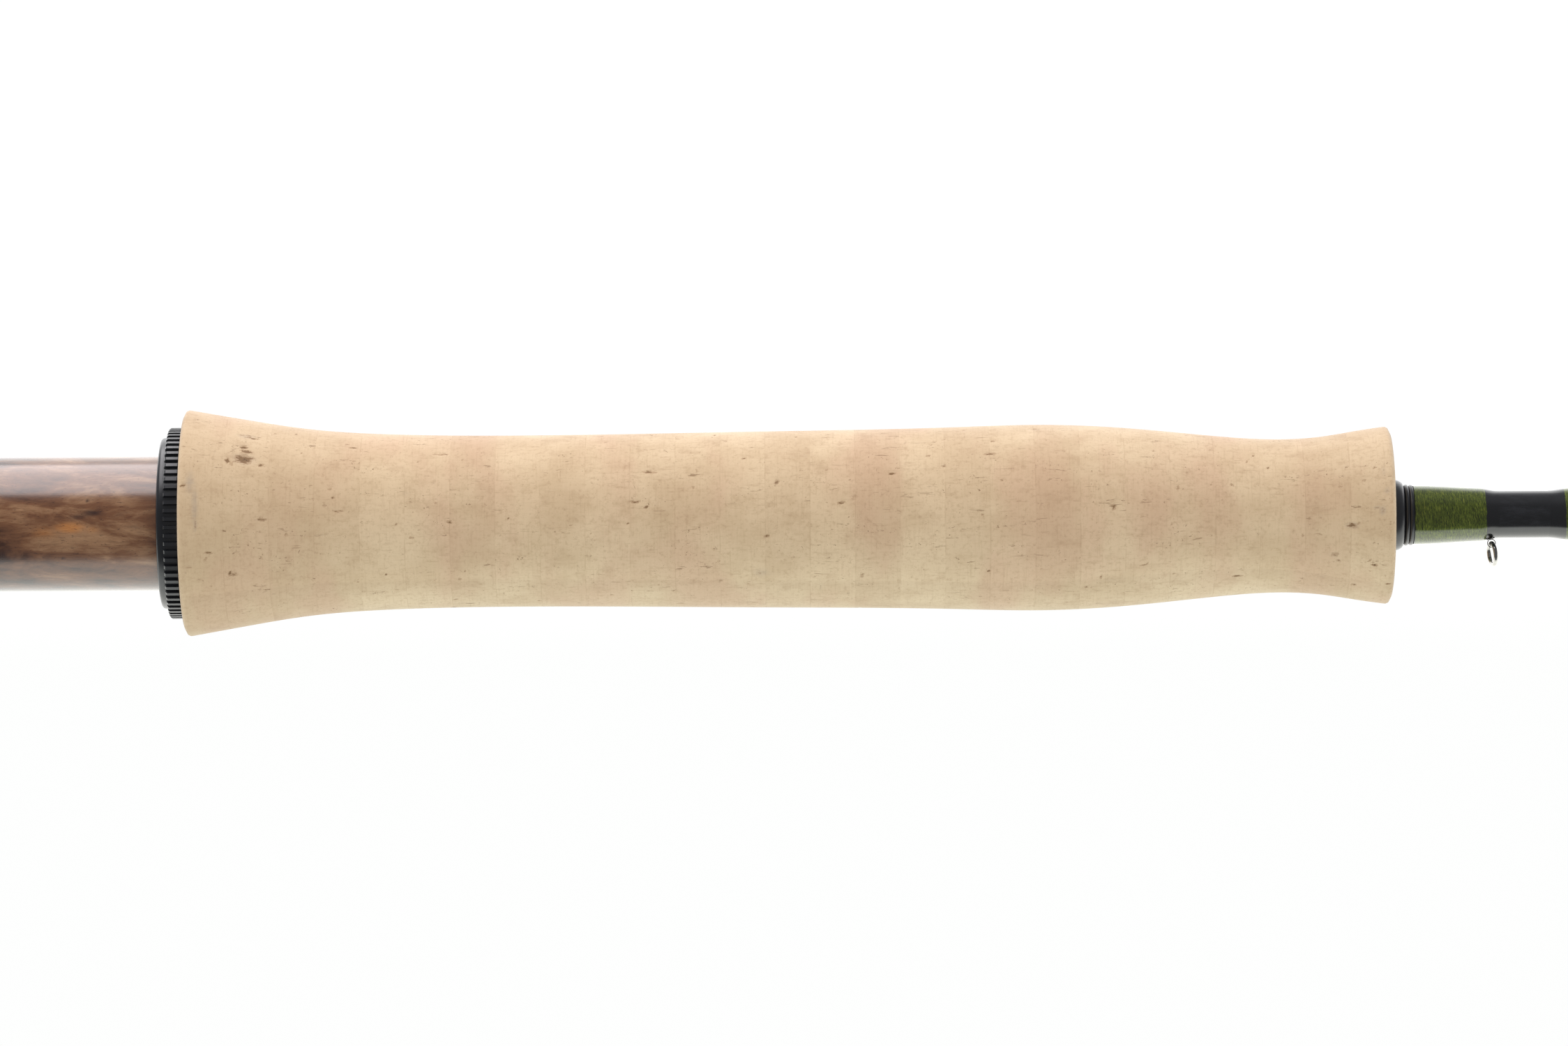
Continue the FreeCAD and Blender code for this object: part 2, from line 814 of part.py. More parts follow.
def foot_wrap(toe, heel, foot_radius):
    """A wrap round the blank and a guide's foot: a sleeve with a ridge over the foot."""
    thickness, beyond = value("dim.wrap_thickness"), value("dim.wrap_beyond")
    end = toe + math.copysign(beyond, toe - heel)
    low, high = min(end, heel), max(end, heel)
    skin = [value(blank_radius(x)) for x in (low, high)]
    sleeve = tube(low, high, skin, [radius + thickness for radius in skin])
    axis = foot_line(min(toe, heel), foot_radius)
    ridge = Part.makeCylinder(
        foot_radius + thickness * 0.7,
        high - low,
        Vector(low, 0, axis.z),
        Vector(1, 0, 0),
    )
    opening = heel + math.copysign(1, heel - toe)
    tunnel = Part.makeCylinder(
        foot_radius + value("dim.glue_gap") / 2,
        abs(toe - opening),
        Vector(min(toe, opening), 0, axis.z),
        Vector(1, 0, 0),
    )
    core = tube(low - 1, high + 1, (0, 0), [value(blank_radius(x)) for x in (low - 1, high + 1)])
    return sleeve.fuse(ridge).cut(core).cut(tunnel).removeSplitter()


def snake_wraps(from_tip):
    middle, inset = value("dim.rod_length") - from_tip, 0.8
    heel = value("dim.snake_reach") / 2 + inset
    toe = value("dim.snake_reach") / 2 + value("dim.guide_foot_length")
    wire = value("dim.snake_wire_radius")
    return [foot_wrap(middle + side * toe, middle + side * heel, wire) for side in (-1, 1)]


def make_snakes(number, name, wraps_name):
    places = [place for place in snake_places() if section_of(place) == number]
    wires = [snake_wire(place) for place in places]
    wraps = [wrap for place in places for wrap in snake_wraps(place)]
    node(feature(name, Part.makeCompound(wires)), name)
    node(feature(wraps_name, Part.makeCompound(wraps)), wraps_name)


def stripper_centre():
    x = value(f"dim.rod_length - {STRIPPER_FROM_TIP}")
    return Vector(x, 0, -(value(blank_radius(x)) + value("dim.stripper_height")))


def make_stripper():
    """A hard ring in a hoop that stands on one front leg and two back legs."""
    centre = stripper_centre()
    hole, wall = value("dim.stripper_ring_radius"), value("dim.stripper_ring_wall")
    width, hoop_wall = value("dim.stripper_ring_width"), value("dim.stripper_frame_wall")
    leg, stride = value("dim.leg_radius"), value("dim.stripper_stride")
    foot = value("dim.guide_foot_length")
    along = Vector(1, 0, 0)
    back_face = centre - along * (width / 2)
    outside = Part.makeCylinder(hole + wall, width, back_face, along)
    inside = Part.makeCylinder(hole, width, back_face, along)
    ring = outside.cut(inside)
    rims = [edge for edge in ring.Edges if abs(edge.Length - 2 * math.pi * hole) < 0.01]
    ring = ring.makeFillet(width * 0.25, rims)
    node(feature("stripping_guide_ring", ring), "stripping_guide_ring")

    hoop_width = width * 0.6
    hoop_bore = hole + wall + value("dim.glue_gap")
    face = centre - along * (hoop_width / 2)
    hoop = Part.makeCylinder(hoop_bore + hoop_wall, hoop_width, face, along)
    bore = Part.makeCylinder(hoop_bore, hoop_width, face, along)
    middle = hoop_bore + hoop_wall / 2
    front = foot_line(centre.x + stride, leg)
    back = foot_line(centre.x - stride, leg)
    pieces = [
        rod_between(front, foot_line(front.x + foot, leg), leg),
        rod_between(foot_line(back.x - foot, leg), back, leg),
        Part.makeSphere(leg, front),
        Part.makeSphere(leg, back),
        rod_between(front, centre + Vector(0, 0, middle), leg),
    ]
    for side in (-1, 1):
        lean = math.radians(25)
        hold = centre + Vector(0, side * middle * math.cos(lean), middle * math.sin(lean))
        pieces.append(rod_between(back, hold, leg))
        pieces.append(Part.makeSphere(leg, hold))
    frame = hoop.multiFuse(pieces).cut(bore)
    clear = Part.makeCylinder(hoop_bore, 3 * width, centre - along * (1.5 * width), along)
    frame = frame.cut(clear).removeSplitter()
    node(feature("stripping_guide_frame", frame), "stripping_guide_frame")
    wraps = [
        foot_wrap(back.x - foot, back.x - 1, leg),
        foot_wrap(front.x + foot, front.x + 1, leg),
    ]
    node(feature("stripping_guide_wraps", Part.makeCompound(wraps)), "stripping_guide_wraps")


def make_tip_top():
    """A tube glued over the blank's end that carries the last line loop."""
    end, length = value(BLANK_END) + 0.5, value("dim.tip_tube_length")
    start = end - length
    bore = value(blank_radius(start)) + value("dim.glue_gap")
    outer = bore + value("dim.tip_tube_wall")
    wire, radius = value("dim.tip_wire_radius"), value("dim.tip_loop_radius")
    sleeve = tube(start, end, (0, 0), (outer, outer))
    hollow = tube(start - 1, value(BLANK_END) + 0.1, (0, 0), (bore, bore))
    node(feature("tip_top_tube", sleeve.cut(hollow)), "tip_top_tube")

    centre = Vector(end + radius * 0.5, 0, -(radius + 0.4))
    tilt = Rotation(Vector(0, 1, 0), 90 - 25)
    loop = Part.makeTorus(radius, wire)
    loop.Placement = Placement(centre, tilt)
    top = centre + tilt.multVec(Vector(-radius, 0, 0))
    stem = rod_between(foot_line(end - 4, wire) - Vector(0, 0, outer - bore), top, wire)
    legs = [stem]
    for side in (-1, 1):
        hold = centre + tilt.multVec(Vector(0, side * radius, 0))
        root = Vector(end - 5, side * (outer + wire) * 0.8, -(outer + wire) * 0.6)
        legs.append(rod_between(root, hold, wire))
        legs.append(Part.makeSphere(wire, hold))
        legs.append(Part.makeSphere(wire, root))
    body = loop.multiFuse(legs[1:])
    body = body.cut(sleeve).removeSplitter()
    node(feature("tip_top_loop", body), "tip_top_loop")



def build():
    make_butt_cap()
    make_threaded_barrel()
    make_wood_insert()
    make_seat_bushings()
    make_fixed_hood()
    make_coin_edge_ring()
    make_sliding_hood()
    make_lock_nut()
    make_cork_rings()
    make_winding_check()
    blanks = ["butt_blank", "second_blank", "third_blank", "tip_blank"]
    for number, name in enumerate(blanks):
        make_blank(number, name)
    for number in (1, 2, 3):
        make_spigot(number, f"spigot_{number}")
        make_ferrule_wrap(number, -1, f"ferrule_wrap_{number}_lower")
        make_ferrule_wrap(number, 1, f"ferrule_wrap_{number}_upper")
    strap = make_keeper_strap()
    cut_for_strap(make_grip_wrap(), strap, "grip_wrap")
    make_keeper_ring()
    make_band_wrap()
    make_stripper()
    for number, name in ((1, "second"), (2, "third"), (3, "tip")):
        make_snakes(number, f"snake_guides_{name}", f"snake_wraps_{name}")
    make_tip_top()
    document.recompute()


def check():
    for thing in document.Objects:
        if any(word in ("Invalid", "Error") for word in thing.State):
            raise RuntimeError(f"{thing.Label} did not recompute: {thing.State}")
    for thing in nodes:
        if thing.Shape.isNull() or not thing.Shape.isValid() or not thing.Shape.Solids:
            raise RuntimeError(f"{thing.Label} is not a valid solid")


def write():
    os.makedirs("parts", exist_ok=True)
    for thing in nodes:
        thing.Shape.exportStep(f"parts/{thing.Label}.step")


build()
check()
write()
print(len(nodes), "nodes written")
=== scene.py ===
import math

import bpy
import numpy as np
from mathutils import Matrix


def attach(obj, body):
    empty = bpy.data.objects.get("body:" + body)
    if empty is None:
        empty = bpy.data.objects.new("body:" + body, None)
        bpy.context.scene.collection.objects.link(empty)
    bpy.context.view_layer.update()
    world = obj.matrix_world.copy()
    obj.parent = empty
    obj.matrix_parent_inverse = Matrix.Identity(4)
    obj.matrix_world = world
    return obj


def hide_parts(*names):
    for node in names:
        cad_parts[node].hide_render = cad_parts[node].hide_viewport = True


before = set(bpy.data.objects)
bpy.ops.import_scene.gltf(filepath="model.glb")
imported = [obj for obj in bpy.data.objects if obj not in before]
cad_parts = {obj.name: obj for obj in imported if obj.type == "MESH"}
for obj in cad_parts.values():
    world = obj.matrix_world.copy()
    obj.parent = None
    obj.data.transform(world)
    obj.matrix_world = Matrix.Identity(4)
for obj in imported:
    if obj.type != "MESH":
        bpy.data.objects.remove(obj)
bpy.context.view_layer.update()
scene = bpy.context.scene
scene.view_settings.view_transform = "Standard"
mm = 0.001
fullTurn = 2 * math.pi
print("frame loaded")

# Sizes that several pieces share, in millimetres along the rod from the butt.
# -Z is the reel's side.

rod = {"length": 2286.0, "buttRadius": 3.80, "tipRadius": 0.80, "gap": 4.0, "sections": 4, "spigot": 45.0}
grip = {"start": 105.0, "ringCount": 27, "ringWidth": 6.35}
gripEnd = grip["start"] + grip["ringCount"] * grip["ringWidth"]
checkEnd = gripEnd + 3.36
gripWrapEnd = checkEnd + 10.2
keeperX = gripWrapEnd + 0.95
bodyNames = ["butt_section", "second_section", "third_section", "tip_section"]


def blankRadius(x):  # straight taper from the butt's radius to the tip's
    return rod["buttRadius"] - (rod["buttRadius"] - rod["tipRadius"]) * np.asarray(x) / rod["length"]


def boreRadius(x):
    return 2.85 - (2.85 - 0.36) * np.asarray(x) / rod["length"]


def ease(t):  # smooth step from 0 to 1: 3t^2 - 2t^3
    t = np.clip(t, 0, 1)
    return t * t * (3 - 2 * t)


# A skin is a pair of arrays: points in millimetres, and faces of four corners.


def gridFaces(rows, columns, closed=True):
    # quads between neighbouring rows and columns; the columns always close on themselves.
    # Rows that don't close end in a cap of quads laid across the last ring
    i, j = np.meshgrid(np.arange(rows if closed else rows - 1), np.arange(columns), indexing="ij")
    iNext, jNext = (i + 1) % rows, (j + 1) % columns
    corners = [i * columns + j, iNext * columns + j, iNext * columns + jNext, i * columns + jNext]
    faces = np.stack(corners, -1).reshape(-1, 4)
    if closed:
        return faces
    k = np.arange(columns // 2 - 1)
    cap = np.stack([k, k + 1, columns - 2 - k, columns - 1 - k], -1)
    return np.vstack([faces, cap, cap[:, [1, 0, 3, 2]] + (rows - 1) * columns])


def outward(points, faces):
    # a closed skin whose faces point out has a positive volume, so one with a negative volume is turned
    a, b, c, d = (points[faces[:, k]] for k in range(4))
    volume = np.einsum("ij,ij->", a, np.cross(b, c)) + np.einsum("ij,ij->", a, np.cross(c, d))
    return faces if volume > 0 else faces[:, ::-1]


def gridSkin(grid, closed=True):
    # a grid of points, rows by columns by 3
    points = grid.reshape(-1, 3)
    faces = gridFaces(grid.shape[0], grid.shape[1], closed)
    return points, outward(points - points.mean(0), faces)


def makePiece(name, skins, finish, body, node, sharp=None, values=None):
    # finish is a material and its slot, and node is what the piece replaces. Edges steeper than
    # sharp, in degrees, stay sharp, and values gives one number per point for the material to read
    starts = np.cumsum([0] + [len(points) for points, _ in skins])
    points = np.vstack([points for points, _ in skins]) * mm
    faces = np.vstack([faces + start for (_, faces), start in zip(skins, starts)]).astype(np.int32)
    mesh = bpy.data.meshes.new(name)
    mesh.vertices.add(len(points))
    mesh.vertices.foreach_set("co", points.ravel())
    mesh.loops.add(faces.size)
    mesh.loops.foreach_set("vertex_index", faces.ravel())
    mesh.polygons.add(len(faces))
    mesh.polygons.foreach_set("loop_start", np.arange(0, faces.size, 4, dtype=np.int32))
    mesh.update(calc_edges=True)
    for key, numbers in (values or {}).items():
        layer = mesh.attributes.new(key, "FLOAT", "POINT")
        layer.data.foreach_set("value", np.asarray(numbers, np.float32).ravel())
    mesh.shade_smooth()
    if sharp:
        mesh.set_sharp_from_angle(angle=math.radians(sharp))
    piece = bpy.data.objects.new(name, mesh)
    scene.collection.objects.link(piece)
    mesh.materials.append(finish[0])
    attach(piece, body)
    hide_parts(node)


def around(count):
    return np.arange(count) * fullTurn / count


def ringGrid(x, radius, angle):
    # x and radius for every row and angle; angle 0 faces -Y and a quarter turn faces +Z
    x, radius, angle = np.broadcast_arrays(x, radius, angle)
    return np.stack([x, -radius * np.cos(angle), radius * np.sin(angle)], -1)


def easedOutline(corners, steps=5):
    # a corner (x, radius, ease) becomes a quadratic curve from one side to the other, which leaves
    # the sides at the ease's distance from the corner or at 45% of the shorter side
    outline = []
    count = len(corners)
    for k in range(count):
        before, here, after = (np.array(corners[(k + d) % count][:2], float) for d in (-1, 0, 1))
        sides = before - here, after - here
        lengths = [max(np.hypot(*side), 1e-9) for side in sides]
        reach = min(corners[k][2], 0.45 * min(lengths))
        if reach < 1e-6:
            outline.append(here[None])
            continue
        first, last = (here + side * reach / length for side, length in zip(sides, lengths))
        t = np.linspace(0, 1, steps + 1)[:, None]
        outline.append((1 - t) ** 2 * first + 2 * t * (1 - t) * here + t ** 2 * last)
    return np.vstack(outline)


def turnedSkin(outline, columns):
    # an outline of (x, radius) carried round the rod's axis
    return gridSkin(ringGrid(outline[:, :1], outline[:, 1:], around(columns)[None]))


def smoothThrough(knots, heights, x):
    # the natural cubic spline through the knots: its second slopes solve one small linear system
    h = np.diff(knots)
    n = len(knots)
    system, right = np.eye(n), np.zeros(n)
    k = np.arange(1, n - 1)
    system[k, k - 1], system[k, k], system[k, k + 1] = h[:-1], 2 * (h[:-1] + h[1:]), h[1:]
    slope = np.diff(heights) / h
    right[1:-1] = 6 * np.diff(slope)
    bend = np.linalg.solve(system, right)
    i = np.clip(np.searchsorted(knots, x) - 1, 0, n - 2)
    t, w = x - knots[i], h[i]
    first = slope[i] - w * (2 * bend[i] + bend[i + 1]) / 6
    return heights[i] + first * t + bend[i] * t ** 2 / 2 + (bend[i + 1] - bend[i]) * t ** 3 / (6 * w)


def wireSkin(path, radius, columns=14, tip=5):
    # a circle carried along a path. Its frame is turned as little as it can be from one station to
    # the next, and each end is a dome: the circle shrinks as sin b while it moves on by cos b
    path = np.asarray(path, float)
    tangent = np.gradient(path, axis=0)
    tangent /= np.linalg.norm(tangent, axis=1)[:, None]
    side, sides = np.array([0.31, 0.52, 0.79]), []
    for direction in tangent:
        side = side - direction * (side @ direction)
        side = side / np.linalg.norm(side)
        sides.append(side)
    sides = np.array(sides)
    other = np.cross(tangent, sides)
    bow = np.linspace(0.12, math.pi / 2, tip)[:-1]
    start = path[0] - tangent[0] * radius * np.cos(bow)[:, None]
    finish = path[-1] + tangent[-1] * radius * np.cos(bow[::-1])[:, None]
    centres = np.vstack([start, path, finish])
    share = np.concatenate([np.sin(bow), np.ones(len(path)), np.sin(bow[::-1])])
    pick = np.concatenate([np.zeros(tip - 1, int), np.arange(len(path)), np.full(tip - 1, len(path) - 1)])
    a = around(columns)[None, :, None]
    spokes = sides[pick][:, None] * np.cos(a) + other[pick][:, None] * np.sin(a)
    return gridSkin(centres[:, None] + spokes * (radius * share)[:, None, None], closed=False)


def straight(start, end, count=8):
    return np.linspace(np.asarray(start, float), np.asarray(end, float), count)


def footLine(x, radius):  # where a wire of that radius lies against the blank, on the reel's side
    return np.array([x, 0.0, -(float(blankRadius(x)) + radius + 0.05)])


print("helpers ready")

# Materials. Places in them are metres, and read Object coordinates, which are the rod's own. The
# helpers find their node tree through the node or socket that they are given.


def newMaterial(name, roughness=0.5, metallic=0.0, ior=1.5, coat=None):
    # coat is a clear coat's roughness and IOR; under a coat, only the coat mirrors
    material = bpy.data.materials.new(name)
    material.use_nodes = True
    shader = material.node_tree.nodes["Principled BSDF"]
    values = {"Roughness": roughness, "Metallic": metallic, "IOR": ior}
    if coat:
        values |= {"Coat Weight": 1.0, "Coat Roughness": coat[0], "Coat IOR": coat[1]}
        values["Specular IOR Level"] = 0.05
    for key, value in values.items():
        shader.inputs[key].default_value = value
    return material, shader


def connect(node, key, value):  # a socket is linked, and a plain value is set
    if isinstance(value, bpy.types.NodeSocket):
        node.id_data.links.new(value, node.inputs[key])
    else:
        node.inputs[key].default_value = value


def addNode(near, kind, inputs, **settings):
    # inputs are the new node's sockets, by name or number; settings are its own properties
    node = near.id_data.nodes.new(kind)
    for key, value in settings.items():
        setattr(node, key, value)
    for key, value in inputs.items():
        connect(node, key, value)
    return node


def maths(operation, a, b=0.0):
    near = a if isinstance(a, bpy.types.NodeSocket) else b
    return addNode(near, "ShaderNodeMath", {0: a, 1: b}, operation=operation).outputs[0]


def times(a, b):
    return maths("MULTIPLY", a, b)


def plus(a, b):
    return maths("ADD", a, b)


def weighed(*parts):  # a sum of values, each times its weight
    total = times(*parts[0])
    for part in parts[1:]:
        total = plus(total, times(*part))
    return total


def mixed(share, a, b):
    a, b = ((*c, 1.0) if isinstance(c, tuple) else c for c in (a, b))
    inputs = {0: share, 6: a, 7: b}
    return addNode(share, "ShaderNodeMix", inputs, data_type="RGBA", clamp_factor=True).outputs[2]


def ramp(value, stops):
    node = addNode(value, "ShaderNodeValToRGB", {0: value})
    elements = node.color_ramp.elements
    elements[0].position, elements[1].position = stops[0][0], stops[-1][0]
    for place, _ in stops[1:-1]:
        elements.new(place)
    for element, (_, colour) in zip(elements, stops):
        element.color = (*colour, 1)
    return node.outputs["Color"]


def between(value, low, high):  # smooth step from 0 at low to 1 at high
    inputs = {0: value, 1: low, 2: high, 3: 0.0, 4: 1.0}
    return addNode(value, "ShaderNodeMapRange", inputs, interpolation_type="SMOOTHSTEP").outputs[0]


def tinted(colour, layers):
    # lays tints over a colour, each by its share where its value runs from low to high
    for value, low, high, share, tint in layers:
        colour = mixed(times(between(value, low, high), share), colour, tint)
    return colour


def noise(vector, scale, detail=3.0, roughness=0.55, distortion=0.0):
    # scale is strokes per metre: one number, or one for each axis
    if isinstance(scale, tuple):
        vector = addNode(vector, "ShaderNodeMapping", {"Vector": vector, "Scale": scale}).outputs[0]
        scale = 1.0
    inputs = {"Vector": vector, "Scale": scale, "Detail": detail, "Roughness": roughness}
    inputs["Distortion"] = distortion
    return addNode(vector, "ShaderNodeTexNoise", inputs).outputs["Fac"]


def bumped(shader, key, height, strength, distance):
    inputs = {"Strength": strength, "Distance": distance, "Height": height}
    connect(shader, key, addNode(shader, "ShaderNodeBump", inputs).outputs[0])


def objectPlace(shader):
    return addNode(shader, "ShaderNodeTexCoord", {}).outputs["Object"]


def attribute(shader, name):
    return addNode(shader, "ShaderNodeAttribute", {}, attribute_name=name).outputs["Fac"]


def roundRod(place):  # the angle round the rod: 0 in front and a quarter turn overhead
    sockets = addNode(place, "ShaderNodeSeparateXYZ", {0: place}).outputs
    return sockets["X"], maths("ARCTAN2", sockets["Z"], times(sockets["Y"], -1.0))


def alongAndAround(place, radius):
    # x, and the angle times a radius, so that strokes are as long round the rod as along it
    x, angle = roundRod(place)
    return x, times(angle, radius)


def flat(near, x, arc):
    return addNode(near, "ShaderNodeCombineXYZ", {0: x, 1: arc, 2: 0.0}).outputs[0]


# pit is a painted shade colour for the bottom of the cork's pits; hole and brown are the cork's own colours
corkLook = {
    "light": (0.635, 0.480, 0.305), "base": (0.565, 0.415, 0.255), "pink": (0.560, 0.375, 0.240),
    "brown": (0.345, 0.215, 0.115), "pit": (0.060, 0.036, 0.022), "hole": (0.165, 0.085, 0.032),
    "grey": (0.270, 0.225, 0.190), "lathe": (3300.0, 170.0), "fibres": (430.0, 2600.0, 2600.0),
    "speckles": 2300.0,
}


def corkMaterial():
    look = corkLook
    material, shader = newMaterial("sandedCork", roughness=0.82)
    place = objectPlace(shader)
    x, arc = alongAndAround(place, 0.0125)
    ringNumber = maths("DIVIDE", maths("SUBTRACT", x, grip["start"] * mm), grip["ringWidth"] * mm)
    toSeam = maths("PINGPONG", ringNumber, 0.5)  # 0 on a glue line and a half in mid-ring
    whichRing = {"W": maths("FLOOR", ringNumber)}
    perRing = addNode(place, "ShaderNodeTexWhiteNoise", whichRing, noise_dimensions="1D").outputs
    moved = {0: perRing["Color"], "Scale": 0.4}  # each ring is cut from another part of the bark
    shift = addNode(place, "ShaderNodeVectorMath", moved, operation="SCALE").outputs[0]
    own = addNode(place, "ShaderNodeVectorMath", {0: place, 1: shift}, operation="ADD").outputs[0]

    cloud = noise(place, (90.0, 130.0, 130.0), 4.0, 0.6)
    blush = noise(place, (90.0, 45.0, 45.0))
    grain = noise(own, 1800.0, 3.0, 0.7)
    mottle = noise(own, (260.0, 420.0, 420.0), 4.0, 0.65)
    lathe = noise(flat(x, times(x, look["lathe"][0]), times(arc, look["lathe"][1])), 1.0, 3.0, 0.75)
    fibre = noise(own, look["fibres"], 3.0, 0.7, 0.3)
    speckle = noise(own, look["speckles"], 2.0, 0.6)
    rows = between(noise(own, (60.0, 420.0, 420.0), 2.0, 0.5), 0.50, 0.66)

    colour = mixed(between(cloud, 0.36, 0.64), look["base"], look["light"])
    colour = tinted(colour, [
        (blush, 0.46, 0.70, 0.7, look["pink"]), (grain, 0.48, 0.75, 0.34, look["brown"]),
        (mottle, 0.50, 0.78, 0.34, look["brown"]), (lathe, 0.50, 0.82, 0.32, look["brown"]),
        (lathe, 0.50, 0.24, 0.18, look["light"]), (fibre, 0.52, 0.80, 0.36, look["brown"]),
        (perRing["Value"], 0.45, 1.0, 0.12, look["brown"]),
    ])
    towardEnds = maths("MAXIMUM", between(x, 0.132, 0.104), times(between(x, 0.258, 0.276), 0.5))
    colour = mixed(times(towardEnds, 0.24), colour, look["brown"])  # darker near both ends

    # cracks run along the rod in loose rows with specks between them
    cracks = times(between(noise(own, (330.0, 2300.0, 2300.0), 3.0, 0.62, 0.8), 0.635, 0.665), rows)
    specks = times(between(speckle, 0.655, 0.72), plus(0.25, rows))
    colour = mixed(times(cracks, 0.60), colour, look["hole"])
    colour = mixed(times(specks, 0.50), colour, look["hole"])
    broken = times(between(toSeam, 0.018, 0.003), between(noise(place, 420.0, 2.0), 0.40, 0.62))
    colour = mixed(times(broken, 0.22), colour, look["brown"])

    # Each pit takes the cork's own browns, and its deepest part is painted near-black as painted shade in the
    # hole
    pit = attribute(shader, "pit")
    ragged = maths("SUBTRACT", noise(place, (1100.0, 2600.0, 2600.0), 3.0, 0.7), 0.5)
    crumbled = plus(pit, times(ragged, times(between(pit, 0.02, 0.25), 1.5)))
    smoky = times(attribute(shader, "smudge"), plus(0.7, times(ragged, 0.8)))
    connect(shader, "Base Color", tinted(colour, [
        (smoky, 0.05, 0.8, 0.6, look["grey"]), (crumbled, 0.24, 0.34, 0.55, look["brown"]),
        (crumbled, 0.44, 0.58, 0.75, look["hole"]), (crumbled, 0.82, 1.00, 0.9, look["pit"]),
    ]))
    for key, value in (("Specular IOR Level", 0.35), ("Sheen Weight", 0.12), ("Sheen Roughness", 0.35)):
        shader.inputs[key].default_value = value
    gaps = maths("MAXIMUM", cracks, specks)
    relief = weighed((speckle, 0.55), (lathe, -0.45), (fibre, -0.30), (gaps, -0.9), (broken, -0.3))
    bumped(shader, "Normal", relief, 0.30, 0.00009)
    return material


woodLook = {
    "dark": (0.048, 0.014, 0.006), "brown": (0.118, 0.045, 0.018), "rust": (0.165, 0.066, 0.026),
    "tan": (0.250, 0.125, 0.058), "pale": (0.350, 0.195, 0.098), "knot": (0.030, 0.010, 0.008),
    "amber": (0.470, 0.180, 0.042), "coat": (0.23, 1.7),
}


def woodMaterial():
    look = woodLook
    material, shader = newMaterial("lacqueredBurl", roughness=0.45, coat=look["coat"])
    place = objectPlace(shader)
    cloud = noise(place, (34.0, 75.0, 75.0), 3.0, 0.55, 0.8)
    figure = noise(place, (70.0, 190.0, 190.0), 4.0, 0.55, 1.6)
    swirl = noise(place, (150.0, 520.0, 520.0), 4.0, 0.6, 2.2)
    fibre = noise(place, (620.0, 4200.0, 4200.0), 4.0, 0.7, 0.6)
    pore = noise(place, (1500.0, 6500.0, 6500.0), 2.0, 0.6)
    stops = zip((0.42, 0.48, 0.53, 0.58, 0.66), (look[key] for key in ("dark", "brown", "rust", "tan", "pale")))
    colour = ramp(weighed((cloud, 0.42), (figure, 0.43), (swirl, 0.15)), list(stops))
    knot = times(attribute(shader, "knot"), plus(0.25, times(swirl, 1.5)))
    connect(shader, "Base Color", tinted(colour, [
        (attribute(shader, "amber"), 0.05, 1.0, 0.8, look["amber"]), (fibre, 0.47, 0.72, 0.34, look["dark"]),
        (fibre, 0.46, 0.24, 0.10, look["tan"]), (pore, 0.63, 0.70, 0.60, look["knot"]),
        (knot, 0.10, 0.95, 0.92, look["knot"]),
    ]))
    bumped(shader, "Normal", fibre, 0.25, 0.00006)
    ripple = plus(noise(place, (60.0, 160.0, 160.0), 2.0), times(fibre, 0.03))
    bumped(shader, "Coat Normal", ripple, 0.08, 0.0003)
    return material


anodisedLook = {
    "dark": (0.0075, 0.0085, 0.0105), "pale": (0.016, 0.018, 0.0225), "roughness": 0.27, "wear": 0.12,
}


def anodisedMaterial():
    look = anodisedLook
    material, shader = newMaterial("blackAnodised", ior=1.62)
    place = objectPlace(shader)
    cloud = noise(place, 260.0, 3.0, 0.6)
    connect(shader, "Base Color", mixed(cloud, look["dark"], look["pale"]))
    connect(shader, "Roughness", plus(look["roughness"], times(cloud, look["wear"])))
    bumped(shader, "Normal", noise(place, 9000.0, 2.0, 0.6), 0.05, 0.00002)
    return material


blankLook = {"base": (0.0095, 0.0100, 0.0115), "fleck": (0.0190, 0.0200, 0.0235), "coatIor": 1.65}


def blankMaterial(name, coatRoughness):
    material, shader = newMaterial(name, roughness=0.4, coat=(coatRoughness, blankLook["coatIor"]))
    place = objectPlace(shader)
    fleck = between(noise(place, (260.0, 900.0, 900.0), 3.0, 0.7), 0.40, 0.75)
    connect(shader, "Base Color", mixed(fleck, blankLook["base"], blankLook["fleck"]))
    bumped(shader, "Coat Normal", noise(place, (70.0, 260.0, 260.0), 2.0), 0.12, 0.0003)
    return material


wrapLook = {
    "deep": (0.014, 0.020, 0.004), "green": (0.044, 0.060, 0.007), "leaf": (0.098, 0.128, 0.014),
    "bright": (0.230, 0.270, 0.045), "gold": (0.250, 0.205, 0.040), "threadWidth": 0.00017,
    "metallic": 0.45, "coat": (0.09, 1.65), "edgeBlur": 0.03,
}


